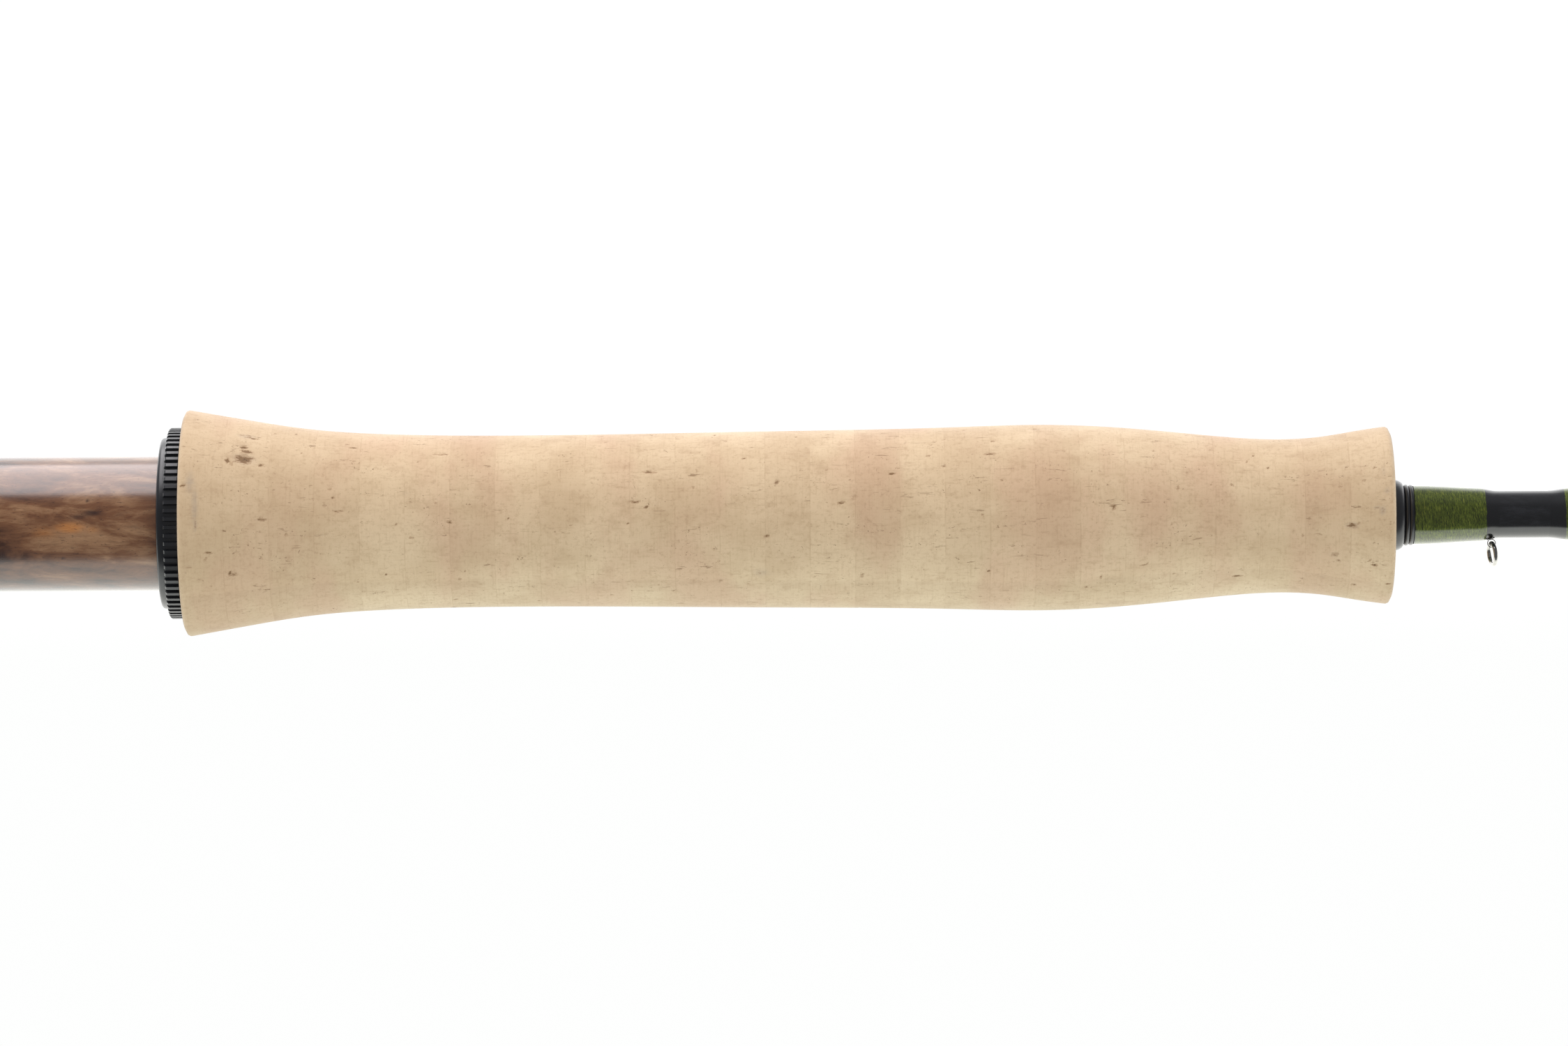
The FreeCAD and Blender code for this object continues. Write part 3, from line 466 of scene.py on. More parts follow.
def wrapMaterial(name, spans):
    # thread over each span of x, in millimetres; the rest is clear varnish over the blank
    look, blur = wrapLook, wrapLook["edgeBlur"]
    material, shader = newMaterial(name, roughness=0.42, coat=look["coat"])
    place = objectPlace(shader)
    x, arc = alongAndAround(place, 0.0040)
    lean = flat(x, plus(x, times(arc, 0.10)), arc)
    fibre = noise(lean, (10500.0, 1700.0, 1.0), 3.0, 0.75, 0.3)
    tuft = noise(lean, (5200.0, 700.0, 1.0), 3.0, 0.65, 0.5)
    cloud = noise(lean, (420.0, 420.0, 1.0), 2.0)
    stops = zip((0.36, 0.46, 0.55, 0.70), (look[key] for key in ("deep", "green", "leaf", "bright")))
    colour = ramp(weighed((fibre, 0.55), (tuft, 0.33), (cloud, 0.12)), list(stops))
    colour = tinted(colour, [(tuft, 0.60, 0.74, 0.5, look["gold"])])
    ragged = times(maths("SUBTRACT", noise(flat(x, 0.0, arc), (1.0, 700.0, 1.0), 3.0), 0.5), 0.0005)
    edge = plus(x, plus(ragged, times(arc, 0.02)))
    inside = 0.0
    for start, end in spans:
        rising = between(edge, (start - blur) * mm, (start + blur) * mm)
        falling = between(edge, (end + blur) * mm, (end - blur) * mm)
        inside = maths("MAXIMUM", times(rising, falling), inside)
    connect(shader, "Base Color", mixed(inside, blankLook["base"], colour))
    connect(shader, "Metallic", times(inside, look["metallic"]))
    turns = maths("SINE", times(x, fullTurn / look["threadWidth"]))
    bumped(shader, "Normal", times(plus(times(turns, 0.25), fibre), inside), 0.45, 0.00004)
    ripple = plus(noise(place, (160.0, 300.0, 300.0), 2.0), times(times(fibre, inside), 0.06))
    bumped(shader, "Coat Normal", ripple, 0.14, 0.0003)
    return material


def metalMaterial(name, colour, roughness, wear):
    material, shader = newMaterial(name, metallic=1.0)
    place = objectPlace(shader)
    cloud = noise(place, 1400.0, 3.0, 0.6)
    darker = tuple(0.8 * c for c in colour)
    connect(shader, "Base Color", mixed(between(cloud, 0.35, 0.7), darker, colour))
    connect(shader, "Roughness", plus(roughness, times(cloud, wear)))
    bumped(shader, "Normal", noise(place, (500.0, 9000.0, 9000.0), 2.0, 0.6), 0.08, 0.00002)
    return material


def mouldedMaterial(name, colour, roughness, grain, distance):
    material, shader = newMaterial(name)
    cloud = noise(objectPlace(shader), grain, 3.0, 0.6)
    connect(shader, "Base Color", mixed(cloud, colour, tuple(1.5 * c for c in colour)))
    connect(shader, "Roughness", plus(roughness, times(cloud, 0.15)))
    bumped(shader, "Normal", cloud, 0.2, distance)
    return material


# A finish is a material and the name of its slot.
cork = corkMaterial(), "cork"
burl = woodMaterial(), "burl_wood"
anodised = anodisedMaterial(), "anodised_black"
glossBlank = blankMaterial("glossBlank", 0.09), "blank_black"
spigotFibre = blankMaterial("polishedSpigot", 0.20), "blank_black"
steel = metalMaterial("polishedWire", (0.46, 0.45, 0.43), 0.14, 0.16), "bright_steel"
ceramic = mouldedMaterial("darkCeramic", (0.028, 0.029, 0.034), 0.10, 900.0, 0.00001), "guide_ceramic"
bushPlastic = mouldedMaterial("bushPlastic", (0.10, 0.10, 0.10), 0.45, 1500.0, 0.00003)
print("materials made")

# Cork grip: knots are (share of its length, radius).

corkShape = {
    "back": 16.1, "waist": 12.2, "swell": 13.22, "neck": 10.92, "front": 12.62,
    "edge": 0.8, "recess": 12.05, "rowStep": 0.33, "columns": 206,
}


def corkRadius(x):
    s = corkShape
    flare, opening = s["back"] - s["waist"], s["front"] - s["neck"]
    knots = np.array([
        (0.004, s["back"]), (0.054, s["waist"] + 0.615 * flare), (0.100, s["waist"] + 0.3 * flare),
        (0.170, s["waist"] + 0.075 * flare), (0.280, s["waist"]), (0.480, (2 * s["waist"] + s["swell"]) / 3),
        (0.640, (s["waist"] + 3 * s["swell"]) / 4), (0.710, s["swell"]),
        (0.790, (3 * s["swell"] + s["neck"]) / 4 - 0.1), (0.860, (s["swell"] + 4 * s["neck"]) / 5),
        (0.905, s["neck"]), (0.945, s["neck"] + 0.22 * opening), (0.975, s["neck"] + 0.7 * opening),
        (0.996, s["front"]),
    ])
    places = grip["start"] + knots[:, 0] * (gripEnd - grip["start"])
    return smoothThrough(places, knots[:, 1], np.clip(x, places[0], places[-1]))


# Marks that the cork shows on its -Y side: x, degrees up from the side, length along the rod,
# length round it, depth, and how grey it is.
corkMarks = [
    (114.0, 47, 0.75, 0.45, 0.24, 0.4), (114.5, 44, 1.1, 0.25, 0.16, 0.3), (114.2, 38, 1.5, 0.9, 0.16, 0.8),
    (111.9, 36, 0.45, 0.5, 0.14, 0.1), (112.4, 34, 0.3, 0.3, 0.14, 0.1), (116.6, 35, 0.5, 0.3, 0.11, 0.1),
    (114.4, 57, 1.4, 0.5, 0.07, 0.7), (115.4, 56, 0.9, 0.2, 0.10, 0.3), (106.8, 21, 0.7, 1.8, 0.0, 0.7),
    (107.5, 9, 0.5, 3.2, 0.0, 0.7), (107.6, -1, 0.3, 0.9, 0.05, 0.8), (115.3, 20, 1.4, 0.14, 0.08, 0.1),
    (114.5, -3, 1.0, 0.2, 0.07, 0.2), (116.4, -5, 0.5, 0.25, 0.07, 0.2), (112.6, -29, 0.9, 0.35, 0.09, 0.3),
    (112.3, -28, 0.3, 0.25, 0.17, 0.0), (115.4, -29, 0.4, 0.25, 0.17, 0.1),
    (106.6, -22, 0.9, 0.5, 0.05, 0.3), (115.4, -37, 1.4, 0.15, 0.06, 0.1),
    (112.9, -49, 0.9, 0.2, 0.05, 0.3), (110.5, 26, 0.3, 0.2, 0.06, 0.1), (184.6, 44, 0.5, 0.18, 0.10, 0.2),
    (186.0, 43, 0.5, 0.18, 0.10, 0.2), (189.2, 25, 0.45, 0.5, 0.10, 0.4), (193.2, 45, 0.35, 0.4, 0.06, 0.4),
    (186.2, 34, 1.6, 0.25, 0.05, 0.2), (187.8, -11, 0.5, 0.3, 0.12, 0.2), (195.4, -50, 0.2, 0.9, 0.06, 0.5),
    (187.0, -37, 1.3, 0.8, 0.03, 0.5), (201.0, -17, 2.6, 0.09, 0.09, 0.0),
    (183.0, -62, 1.2, 0.12, 0.07, 0.1), (196.2, 10, 0.5, 0.8, 0.03, 0.2), (270.3, -7, 0.9, 0.4, 0.13, 0.9),
    (271.3, -6, 0.3, 0.25, 0.15, 0.3), (269.2, -4, 0.8, 0.12, 0.08, 0.5), (273.7, 5, 0.5, 0.25, 0.06, 0.8),
    (274.5, 3, 0.45, 0.7, 0.05, 0.8), (275.2, 16, 0.45, 0.45, 0.06, 0.8), (268.7, 21, 0.5, 0.3, 0.06, 0.3),
    (274.8, 30, 0.35, 0.9, 0.05, 0.5), (273.6, 33, 0.3, 0.3, 0.08, 0.3), (272.0, 24, 0.4, 0.3, 0.06, 0.3),
    (267.9, -29, 0.8, 0.5, 0.07, 0.5), (268.4, -33, 0.6, 0.12, 0.07, 0.4),
    (273.4, -35, 0.5, 0.35, 0.16, 0.3), (272.9, -31, 0.25, 0.2, 0.12, 0.3),
    (271.0, -27, 0.3, 0.3, 0.08, 0.3), (275.0, -43, 0.3, 0.5, 0.05, 0.3),
    (268.0, -45, 1.6, 0.10, 0.05, 0.1), (270.5, -52, 1.6, 0.10, 0.06, 0.1),
]


def fromSpot(x, angle, radius, spot):
    # square of the distance from a spot, measured in its own length along the rod and round it
    turn = (angle - math.radians(spot[1]) + math.pi) % fullTurn - math.pi
    return ((x[:, None] - spot[0]) / spot[2]) ** 2 + (turn[None] * radius / spot[3]) ** 2


def corkSurface(start, end, seed):
    # the outline less a bell-shaped dent for each mark, which falls off along the rod and round it.
    # Gives x, angle, radius, and two values for the material: how deep and how grey each point is
    s = corkShape
    x = np.linspace(start, end, int(round((end - start) / s["rowStep"])) + 1)
    outer = corkRadius(x)
    for isEnd, distance in ((start == grip["start"], x - start), (end == gripEnd, end - x)):
        near = np.clip(1 - distance / s["edge"], 0, 1) if isEnd else 0.0
        outer = outer - s["edge"] * (1 - np.sqrt(np.maximum(1 - near ** 2, 0)))
    angle = around(s["columns"])
    draw = np.random.default_rng(seed)
    count = int((end - start) * 4)
    small = np.column_stack([
        draw.uniform(start, end, count), draw.uniform(-180, 180, count),
        draw.choice([0.25, 0.4, 0.7, 1.2], count, p=[0.4, 0.3, 0.2, 0.1]) * draw.uniform(0.7, 1.3, count),
        draw.choice([0.15, 0.25, 0.4], count, p=[0.5, 0.3, 0.2]),
        draw.uniform(0.02, 0.11, count), draw.uniform(0, 0.4, count),
    ])
    marks = np.vstack([[mark for mark in corkMarks if start - 2 < mark[0] < end + 2], small])
    pit, smudge, dent = (np.zeros((len(x), len(angle))) for _ in range(3))
    for mark in marks:
        depth, grey = mark[4:]
        rows = np.abs(x - mark[0]) < 3.2 * mark[2]
        far = fromSpot(x[rows], angle, outer[rows, None], mark)
        bell = np.exp(-1.6 * far)
        pit[rows] = np.maximum(pit[rows], bell * min(depth * 7.5, 1))
        smudge[rows] = np.maximum(smudge[rows], np.exp(-0.8 * far) * grey)
        dent[rows] = np.maximum(dent[rows], bell * depth)
    return x, angle, outer[:, None] - dent, pit, smudge


def corkPiece(name, start, end, boreStart, boreEnd, node, seed):
    x, angle, surface, pit, smudge = corkSurface(start, end, seed)
    share = np.array([0.06, 0.3, 0.65, 1.0])[:, None]
    back = boreStart + (surface[:1] - boreStart) * share[:-1]
    front = boreEnd + (surface[-1:] - boreEnd) * share[-2::-1]
    bores = np.array([boreEnd, (boreStart + boreEnd) / 2, boreStart])[:, None] * np.ones((1, len(angle)))
    radius = np.vstack([back, surface, front, bores])
    along = np.concatenate([np.full(3, start), x, np.full(3, end), [end, (start + end) / 2, start]])
    skin = gridSkin(ringGrid(along[:, None], radius, angle[None]))
    values = {key: np.pad(grid, ((3, 6), (0, 0))) for key, grid in (("pit", pit), ("smudge", smudge))}
    makePiece(name, [skin], cork, "butt_section", node, 60, values)


hoodRingsEnd = grip["start"] + 3 * grip["ringWidth"]
recess = corkShape["recess"]
corkPiece("corkHoodRings", grip["start"], hoodRingsEnd, recess, recess, "cork_hood_rings", 5)
boreHere, boreFront = (float(blankRadius(x)) + 0.05 for x in (hoodRingsEnd, gripEnd))
corkPiece("corkRings", hoodRingsEnd, gripEnd, boreHere, boreFront, "cork_rings", 9)
print("cork grip made")

# Wood insert, with its tenon in the barrel. Knots and amber patches: x, degrees, length along,
# length round, strength.

woodShape = {
    "start": 12.05, "shoulder": 45.0, "end": 119.0, "tenon": 7.95, "radius": 9.62, "bore": 5.5,
    "rowStep": 0.36, "columns": 224,
}
woodKnots = [
    (91.9, 20, 0.3, 0.3, 0.9), (92.6, 9, 1.8, 0.55, 0.85), (90.7, 6, 1.6, 0.5, 0.6),
    (93.4, 12, 0.7, 0.9, 0.5), (88.3, -30, 0.4, 0.25, 0.95), (86.0, -28, 1.2, 0.7, 0.5),
    (79.5, -29, 1.2, 1.4, 0.65), (80.6, -23, 0.7, 0.6, 0.5), (96.2, 48, 0.16, 0.12, 1.0),
    (95.7, 48.5, 0.12, 0.1, 0.8), (93.3, -15, 0.35, 0.12, 0.7), (86.6, 37, 0.8, 0.15, 0.4),
    (83.5, 48, 0.12, 0.1, 0.6), (90.5, 50, 0.1, 0.1, 0.5), (96.5, 8, 0.9, 0.4, 0.4),
    (98.5, -3, 1.6, 0.5, 0.35), (70.0, 20, 1.5, 1.0, 0.6), (62.0, -10, 1.0, 1.6, 0.7),
    (55.0, 40, 1.8, 1.0, 0.6), (66.0, 120, 1.4, 1.0, 0.8), (80.0, 160, 1.0, 1.6, 0.7),
    (90.0, -120, 1.6, 1.0, 0.7), (52.0, -90, 1.2, 1.2, 0.7), (75.0, -80, 1.6, 0.8, 0.6),
    (98.0, 100, 1.0, 0.8, 0.6),
]
woodAmber = [
    (89.4, -3, 2.2, 0.8, 1.0), (85.8, -7, 2.2, 1.0, 0.5), (92.5, -5, 1.2, 0.6, 0.5),
    (60.0, 60, 3.0, 1.5, 0.7), (72.0, -150, 3.0, 1.5, 0.8), (57.0, -30, 2.0, 1.0, 0.7),
]


def bells(spots, x, radius, angle):  # the highest of a bell over each spot
    return np.max([spot[4] * np.exp(-fromSpot(x, angle, radius, spot)) for spot in spots], axis=0)


def woodPiece():
    s = woodShape
    body = np.arange(s["shoulder"], s["end"] - 0.2, s["rowStep"])
    outline = np.vstack([
        [[s["start"], s["bore"]], [s["start"], s["tenon"]], [s["shoulder"], s["tenon"]]],
        np.column_stack([body, np.full(len(body), s["radius"])]),
        [[s["end"], s["radius"]], [s["end"], s["bore"]]],
    ])
    angle = around(s["columns"])
    spots = (("knot", woodKnots), ("amber", woodAmber))
    values = {key: bells(marks, outline[:, 0], s["radius"], angle) for key, marks in spots}
    skin = turnedSkin(outline, s["columns"])
    makePiece("woodInsert", [skin], burl, "butt_section", "wood_insert", 40, values)


woodPiece()
print("wood insert made")

# Reel seat's metal pieces.

seat = {
    "capRadius": 12.6, "capEnd": 7.0, "plugEnd": 12.0, "plugRadius": 7.95, "barrelEnd": 45.0, "barrelBore": 8.0,
    "barrelRadius": 9.5, "pitch": 1.5, "threadDepth": 0.45, "threadHalf": 0.49, "threadHeight": 34.25,
    "lipStart": 101.7, "coinStart": 102.8, "sleeve": 12.0, "sleeveEnd": 120.0, "bore": 9.67, "lipRadius": 12.18,
    "pocketRadius": 11.32, "pocketEnd": 118.0, "pocketHalf": 38.2, "coinRadius": 13.6, "coinBore": 12.05,
    "flutes": 72, "fluteDepth": 0.45, "fluteWidth": 0.62, "barrelChamfer": 0.4,
    "hoodRadius": 12.2, "hoodBore": 9.72, "hoodStart": 24.0, "hoodPocket": 29.0, "hoodEnd": 39.0,
    "nutRadius": 13.0, "nutBore": 9.6,
}


def flutedAngles(radius):
    # four angles for each flute and its land, with the flute as wide as its tool; 1 on its floor
    half = seat["fluteWidth"] / 2 / radius * seat["flutes"] / fullTurn
    share = np.array([half - 0.035, half + 0.035, 1 - half - 0.035, 1 - half + 0.035])
    angle = ((np.arange(seat["flutes"])[:, None] + share[None]) * fullTurn / seat["flutes"]).ravel()
    return angle, np.tile([1.0, 0.0, 0.0, 1.0], seat["flutes"])


def flutedPiece(name, outline, band, radius, body, node, closed=True):
    # a turned outline whose outer rows within the band are let in to the floor of each flute
    angle, low = flutedAngles(radius)
    x, height = outline.T
    inBand = (x > band[0] - 1e-6) & (x < band[1] + 1e-6) & (height > radius - seat["fluteDepth"])
    floor = np.minimum(outline[:, 1:], radius - seat["fluteDepth"])
    out = outline[:, 1:] + low[None] * inBand[:, None] * (floor - outline[:, 1:])
    skin = gridSkin(ringGrid(outline[:, :1], out, angle[None]), closed)
    makePiece(name, [skin], anodised, body, node, 32)


def buttCapPiece():
    s = seat
    r, end, plug = s["capRadius"], s["capEnd"], s["plugRadius"]
    corners = [
        (0.0, 11.0, 0.5), (0.533, 11.96, 0.4), (1.6, r, 0.4), (2.3, r, 0), (2.32, r, 0), (6.28, r, 0),
        (6.3, r, 0), (end, r, 0.15), (end, plug, 0), (s["plugEnd"], plug, 0.15),
    ]
    # the outline is open at the axis, so its first and last rows are the rims of two flat discs
    outline = np.vstack([[[0.0, 9.0]], easedOutline(corners), [[s["plugEnd"], 6.5]]])
    flutedPiece("buttCap", outline, (2.31, 6.29), r, "butt_section", "butt_cap", False)


def barrelPiece():
    # radius less a V that winds once round for each pitch: depth * (1 - distance from its middle / half)
    s = seat
    start, end, chamfer = s["capEnd"], s["barrelEnd"], s["barrelChamfer"]
    x = np.concatenate([[start], np.arange(start + chamfer, end - chamfer, 0.09), [end - chamfer, end]])
    angle = around(80)
    wound = (((angle - math.pi / 2) % fullTurn) / fullTurn)[None]
    along = x[:, None] - (start + s["pitch"]) - s["pitch"] * wound
    off = np.abs((along + s["pitch"] / 2) % s["pitch"] - s["pitch"] / 2)
    turns = np.round(along / s["pitch"])
    cut = (turns >= 0) & (turns * s["pitch"] < s["threadHeight"])
    radius = s["barrelRadius"] - s["threadDepth"] * np.clip(1 - off / s["threadHalf"], 0, 1) * cut
    radius[-1] = s["barrelRadius"] - chamfer
    bore = np.full((2, len(angle)), s["barrelBore"])
    grid = ringGrid(np.concatenate([x, [end, start]])[:, None], np.vstack([radius, bore]), angle[None])
    makePiece("threadedBarrel", [gridSkin(grid)], anodised, "butt_section", "threaded_barrel", 50)


def hoodPiece(name, corners, pocket, body, node):
    # a tube whose bore is let out to the pocket's radius over an arc on the reel's side
    half = math.radians(seat["pocketHalf"])
    edges = -math.pi / 2 + half * np.array([-1, 1])
    steps = ((edges % fullTurn)[:, None] + np.array([-0.004, 0.0, 0.004])).ravel()
    angle = np.sort(np.concatenate([around(120), steps]))
    isOpen = np.abs((angle + math.pi / 2 + math.pi) % fullTurn - math.pi) < half + 0.002
    outline = easedOutline(corners, 4)
    x, height = outline.T
    inPocket = (np.abs(height - corners[0][1]) < 0.001) & (x > pocket[0] - 1e-6) & (x < pocket[1] + 1e-6)
    radius = outline[:, 1:] + isOpen[None] * inPocket[:, None] * (seat["pocketRadius"] - outline[:, 1:])
    skin = gridSkin(ringGrid(outline[:, :1], radius, angle[None]))
    makePiece(name, [skin], anodised, body, node, 35)


def seatPieces():
    s = seat
    buttCapPiece()
    barrelPiece()
    hoodPiece("fixedHood", [
        (s["lipStart"], s["bore"], 0), (s["lipStart"], s["lipRadius"], 0.5),
        (s["coinStart"], s["lipRadius"], 0.1), (s["coinStart"], s["sleeve"], 0), (s["sleeveEnd"], s["sleeve"], 0.1), (s["sleeveEnd"], s["bore"], 0),
        (s["pocketEnd"] + 0.05, s["bore"], 0), (s["pocketEnd"], s["bore"], 0),
    ], (s["lipStart"], s["pocketEnd"]), "butt_section", "fixed_hood")
    r, bore, start, end = s["coinRadius"], s["coinBore"], s["coinStart"], grip["start"]
    coin = easedOutline([
        (start, bore, 0), (start, r - 0.22, 0.1), (start + 0.22, r, 0.1), (end - 0.2, r, 0.1),
        (end, r - 0.2, 0.1), (end, bore, 0),
    ])
    flutedPiece("coinRing", coin, (start, end), r, "butt_section", "coin_edge_ring")
    r, bore, start, pocket, end = (s["hood" + key] for key in ("Radius", "Bore", "Start", "Pocket", "End"))
    hoodPiece("slidingHood", [
        (end, bore, 0), (end, r, 0.4), (start, r, 0.4), (start, 10.6, 0.1), (start + 1.4, 10.6, 0),
        (start + 1.4, 11.0, 0), (start + 2.5, 11.0, 0), (start + 2.5, bore, 0), (pocket - 0.05, bore, 0),
        (pocket, bore, 0),
    ], (pocket, end), "sliding_hood", "sliding_hood")
    r, bore = s["nutRadius"], s["nutBore"]  # its lip snaps into the hood's groove
    nut = easedOutline([
        (16.9, bore, 0.1), (16.9, r, 0.4), (18.1, r, 0), (18.12, r, 0), (22.68, r, 0), (22.7, r, 0),
        (23.9, r, 0.4), (23.9, 10.5, 0), (25.5, 10.5, 0), (25.5, 10.9, 0.1), (26.3, 10.9, 0.2), (26.3, bore, 0.1),
    ])
    flutedPiece("lockNut", nut, (18.11, 22.69), r, "lock_nut", "lock_nut")


seatPieces()
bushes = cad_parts["seat_bushings"]
bushes.data.materials.clear()
bushes.data.materials.append(bushPlastic)
print("reel seat made")

# Winding check: a dome, then two beads.

checkShape = {"base": 2.0, "radius": 5.1, "bead": 0.68, "beadRadius": 4.35, "valley": 4.07}


def windingCheckPiece():
    s = checkShape
    bore = float(blankRadius(gripEnd)) + 0.05
    share = np.linspace(0, 1, 15)
    height = s["valley"] + (s["radius"] - s["valley"]) * np.sqrt(1 - share ** 2.4)
    dome = np.column_stack([gripEnd + s["base"] * share, height])
    beads = []
    for k in range(2):  # each bead is a half wave as high as its rise over the valley
        t = np.linspace(0.06, 1, 12)
        rise = (s["beadRadius"] - s["valley"]) * np.sin(math.pi * t) ** 0.55 * (1 - 0.25 * k)
        beads.append(np.column_stack([gripEnd + s["base"] + s["bead"] * (k + t), s["valley"] + rise]))
    outline = np.vstack([[[gripEnd, bore]], dome, *beads, [[checkEnd, bore]]])
    makePiece("windingCheck", [turnedSkin(outline, 160)], anodised, "butt_section", "winding_check", 50)


windingCheckPiece()
print("winding check made")

# Blanks and spigots.


def jointPlace(number):
    return rod["length"] * number / rod["sections"]


def sectionEnds(number):
    start = 13.0 if number == 0 else jointPlace(number) + rod["gap"] / 2
    end = rod["length"] - 4.3 if number == rod["sections"] - 1 else jointPlace(number + 1) - rod["gap"] / 2
    return start, end


for number, node in enumerate(["butt_blank", "second_blank", "third_blank", "tip_blank"]):
    start, end = sectionEnds(number)
    x = np.linspace(start, end, 60)
    tube = np.vstack([np.column_stack([x, blankRadius(x)]), np.column_stack([x, boreRadius(x)])[::-1]])
    makePiece(node.replace("_b", "B"), [turnedSkin(tube, 96)], glossBlank, bodyNames[number], node, 50)
    if number:
        reach = rod["spigot"] + rod["gap"] / 2
        x = jointPlace(number) + np.array([-reach, -reach + 0.2, -30, -15, 0, 15, 30, reach - 0.2, reach])
        radius = boreRadius(x) - 0.06 - np.isin(np.arange(9), [0, 8]) * 0.15
        plug = gridSkin(ringGrid(x[:, None], radius[:, None], around(72)[None]), closed=False)
        makePiece(f"spigot{number}", [plug], spigotFibre, bodyNames[number - 1], f"spigot_{number}", 40)
print("blanks and spigots made")

# Wraps round the blank alone.

wrapShape = {"thickness": 0.32, "bandStart": gripWrapEnd + 11.3, "bandLength": 14.0, "ferruleLength": 22.0}


def wrapSkin(start, end, rises, swell):
    # the skin stands off the blank by a thickness that runs out over a smooth foot at each end;
    # swell adds height at the start that dies away along the wrap
    skinStart, skinEnd = start - rises[0], end + rises[1]
    x = np.linspace(skinStart, skinEnd, int((skinEnd - skinStart) / 0.18) + 2)
    up = (x - skinStart) / (rises[0] * 1.35) if rises[0] else np.ones_like(x)
    down = (skinEnd - x) / (rises[1] * 1.35) if rises[1] else np.ones_like(x)
    along = (x - skinStart) / (skinEnd - skinStart)
    height = (wrapShape["thickness"] + swell * (1 - ease(along))) * ease(up) * ease(down)
    blank = blankRadius(x)
    outline = np.vstack([np.column_stack([x, blank + 0.012 + height]), np.column_stack([x, blank - 0.02])[::-1]])
    return turnedSkin(outline, 128)


def wrapPiece(name, start, end, rises, swell, body, node):
    thread = wrapMaterial(name + "Thread", [(start, end)]), "wrap_green"
    makePiece(name, [wrapSkin(start, end, rises, swell)], thread, body, node, 60)


wrapPiece("gripWrap", checkEnd, gripWrapEnd, (0.0, 1.85), 0.46, "butt_section", "grip_wrap")
bandEnds = wrapShape["bandStart"], wrapShape["bandStart"] + wrapShape["bandLength"]
wrapPiece("bandWrap", *bandEnds, (2.2, 2.2), 0.0, "butt_section", "band_wrap")
for number in (1, 2, 3):
    near, far = 0.8, wrapShape["ferruleLength"]
    low, high = jointPlace(number) - rod["gap"] / 2, jointPlace(number) + rod["gap"] / 2
    name, node = f"ferruleWrap{number}", f"ferrule_wrap_{number}_"
    wrapPiece(name + "Lower", low - far, low - near, (1.6, 0.8), 0.0, bodyNames[number - 1], node + "lower")
    wrapPiece(name + "Upper", high + near, high + far, (0.8, 1.6), 0.0, bodyNames[number], node + "upper")
print("wraps made")

# Hook keeper: a strap whose foot lies under the grip's wrap, and a ring in its eye.

keeperShape = {
    "ringRadius": 1.52, "wire": 0.33, "eyeRadius": 0.63, "eyeBore": 0.5, "width": 0.8, "strap": 0.2,
    "footLength": 6.0, "footEnd": -0.42, "eyeStart": 112.0, "eyeTurn": 338.0, "turn": 12.0, "lean": 6.0,
}
keeperAxis = np.array([keeperX, 0.0, -(float(blankRadius(keeperX)) + keeperShape["eyeRadius"] + 0.05)])


def strapSkin():
    # a flat band: first the foot along the blank, then the eye, a full turn round its bore. Each
    # station is a rectangle with eased corners, as thick as the gap between its two edges
    s = keeperShape
    radius = float(blankRadius(keeperX - s["footLength"]))
    x = np.linspace(-s["footLength"], s["footEnd"], 12)
    footTop = np.column_stack([x, np.full(12, -radius + 0.004)])
    footLow = np.column_stack([x, np.full(12, -(radius + s["strap"]))])
    a = np.radians(np.linspace(s["eyeStart"], s["eyeStart"] - s["eyeTurn"], 44))
    centre = np.array([0.0, keeperAxis[2]])
    spoke = np.column_stack([np.cos(a), np.sin(a)])
    inner = np.vstack([footLow, centre + s["eyeBore"] * spoke])
    outer = np.vstack([footTop, centre + s["eyeRadius"] * spoke])
    corner = np.array([(0.5, 0.08), (0.42, 0.0)])
    low = np.vstack([corner * [-1, 1], corner[::-1]])
    shape = np.vstack([low, [0, 1] - low])
    flatPlace = inner[:, None] + (outer - inner)[:, None] * shape[None, :, 1:]
    across = np.broadcast_to(shape[None, :, 0] * s["width"], flatPlace.shape[:2])
    return gridSkin(np.stack([keeperX + flatPlace[..., 0], across, flatPlace[..., 1]], -1), closed=False)


def keeperRingPiece():
    # a torus that hangs from the eye, turned about its own upright and leaning about the eye
    s = keeperShape
    a, b = around(72)[:, None], around(24)[None]
    out = s["ringRadius"] + s["wire"] * np.cos(b)
    x, y, z = np.broadcast_arrays(s["wire"] * np.sin(b), out * np.sin(a), out * np.cos(a) - s["ringRadius"])
    turn, lean = math.radians(s["turn"]), math.radians(s["lean"])
    x, y = x * math.cos(turn) - y * math.sin(turn), x * math.sin(turn) + y * math.cos(turn)
    x, z = x * math.cos(lean) - z * math.sin(lean), x * math.sin(lean) + z * math.cos(lean)
    makePiece("keeperRing", [gridSkin(np.stack([x, y, z], -1) + keeperAxis)], steel, "keeper_ring", "keeper_ring")


makePiece("keeperStrap", [strapSkin()], steel, "butt_section", "keeper_strap", 40)
keeperRingPiece()
print("hook keeper made")

# Snake guides, with a wrap over each foot.

snakeShape = {
    "first": 99.99, "step": 16.0, "count": 9, "reach": 9.0, "small": 3.2, "large": 4.5, "wire": 0.36,
    "foot": 8.0,
}
stripper = {
    "fromTip": 1620.0882, "hole": 3.5, "wall": 1.0, "width": 2.2, "hoopWall": 0.7, "height": 8.6, "stride": 11.0,
    "leg": 0.5, "foot": 8.0, "lean": 25.0, "bend": 0.12,
}


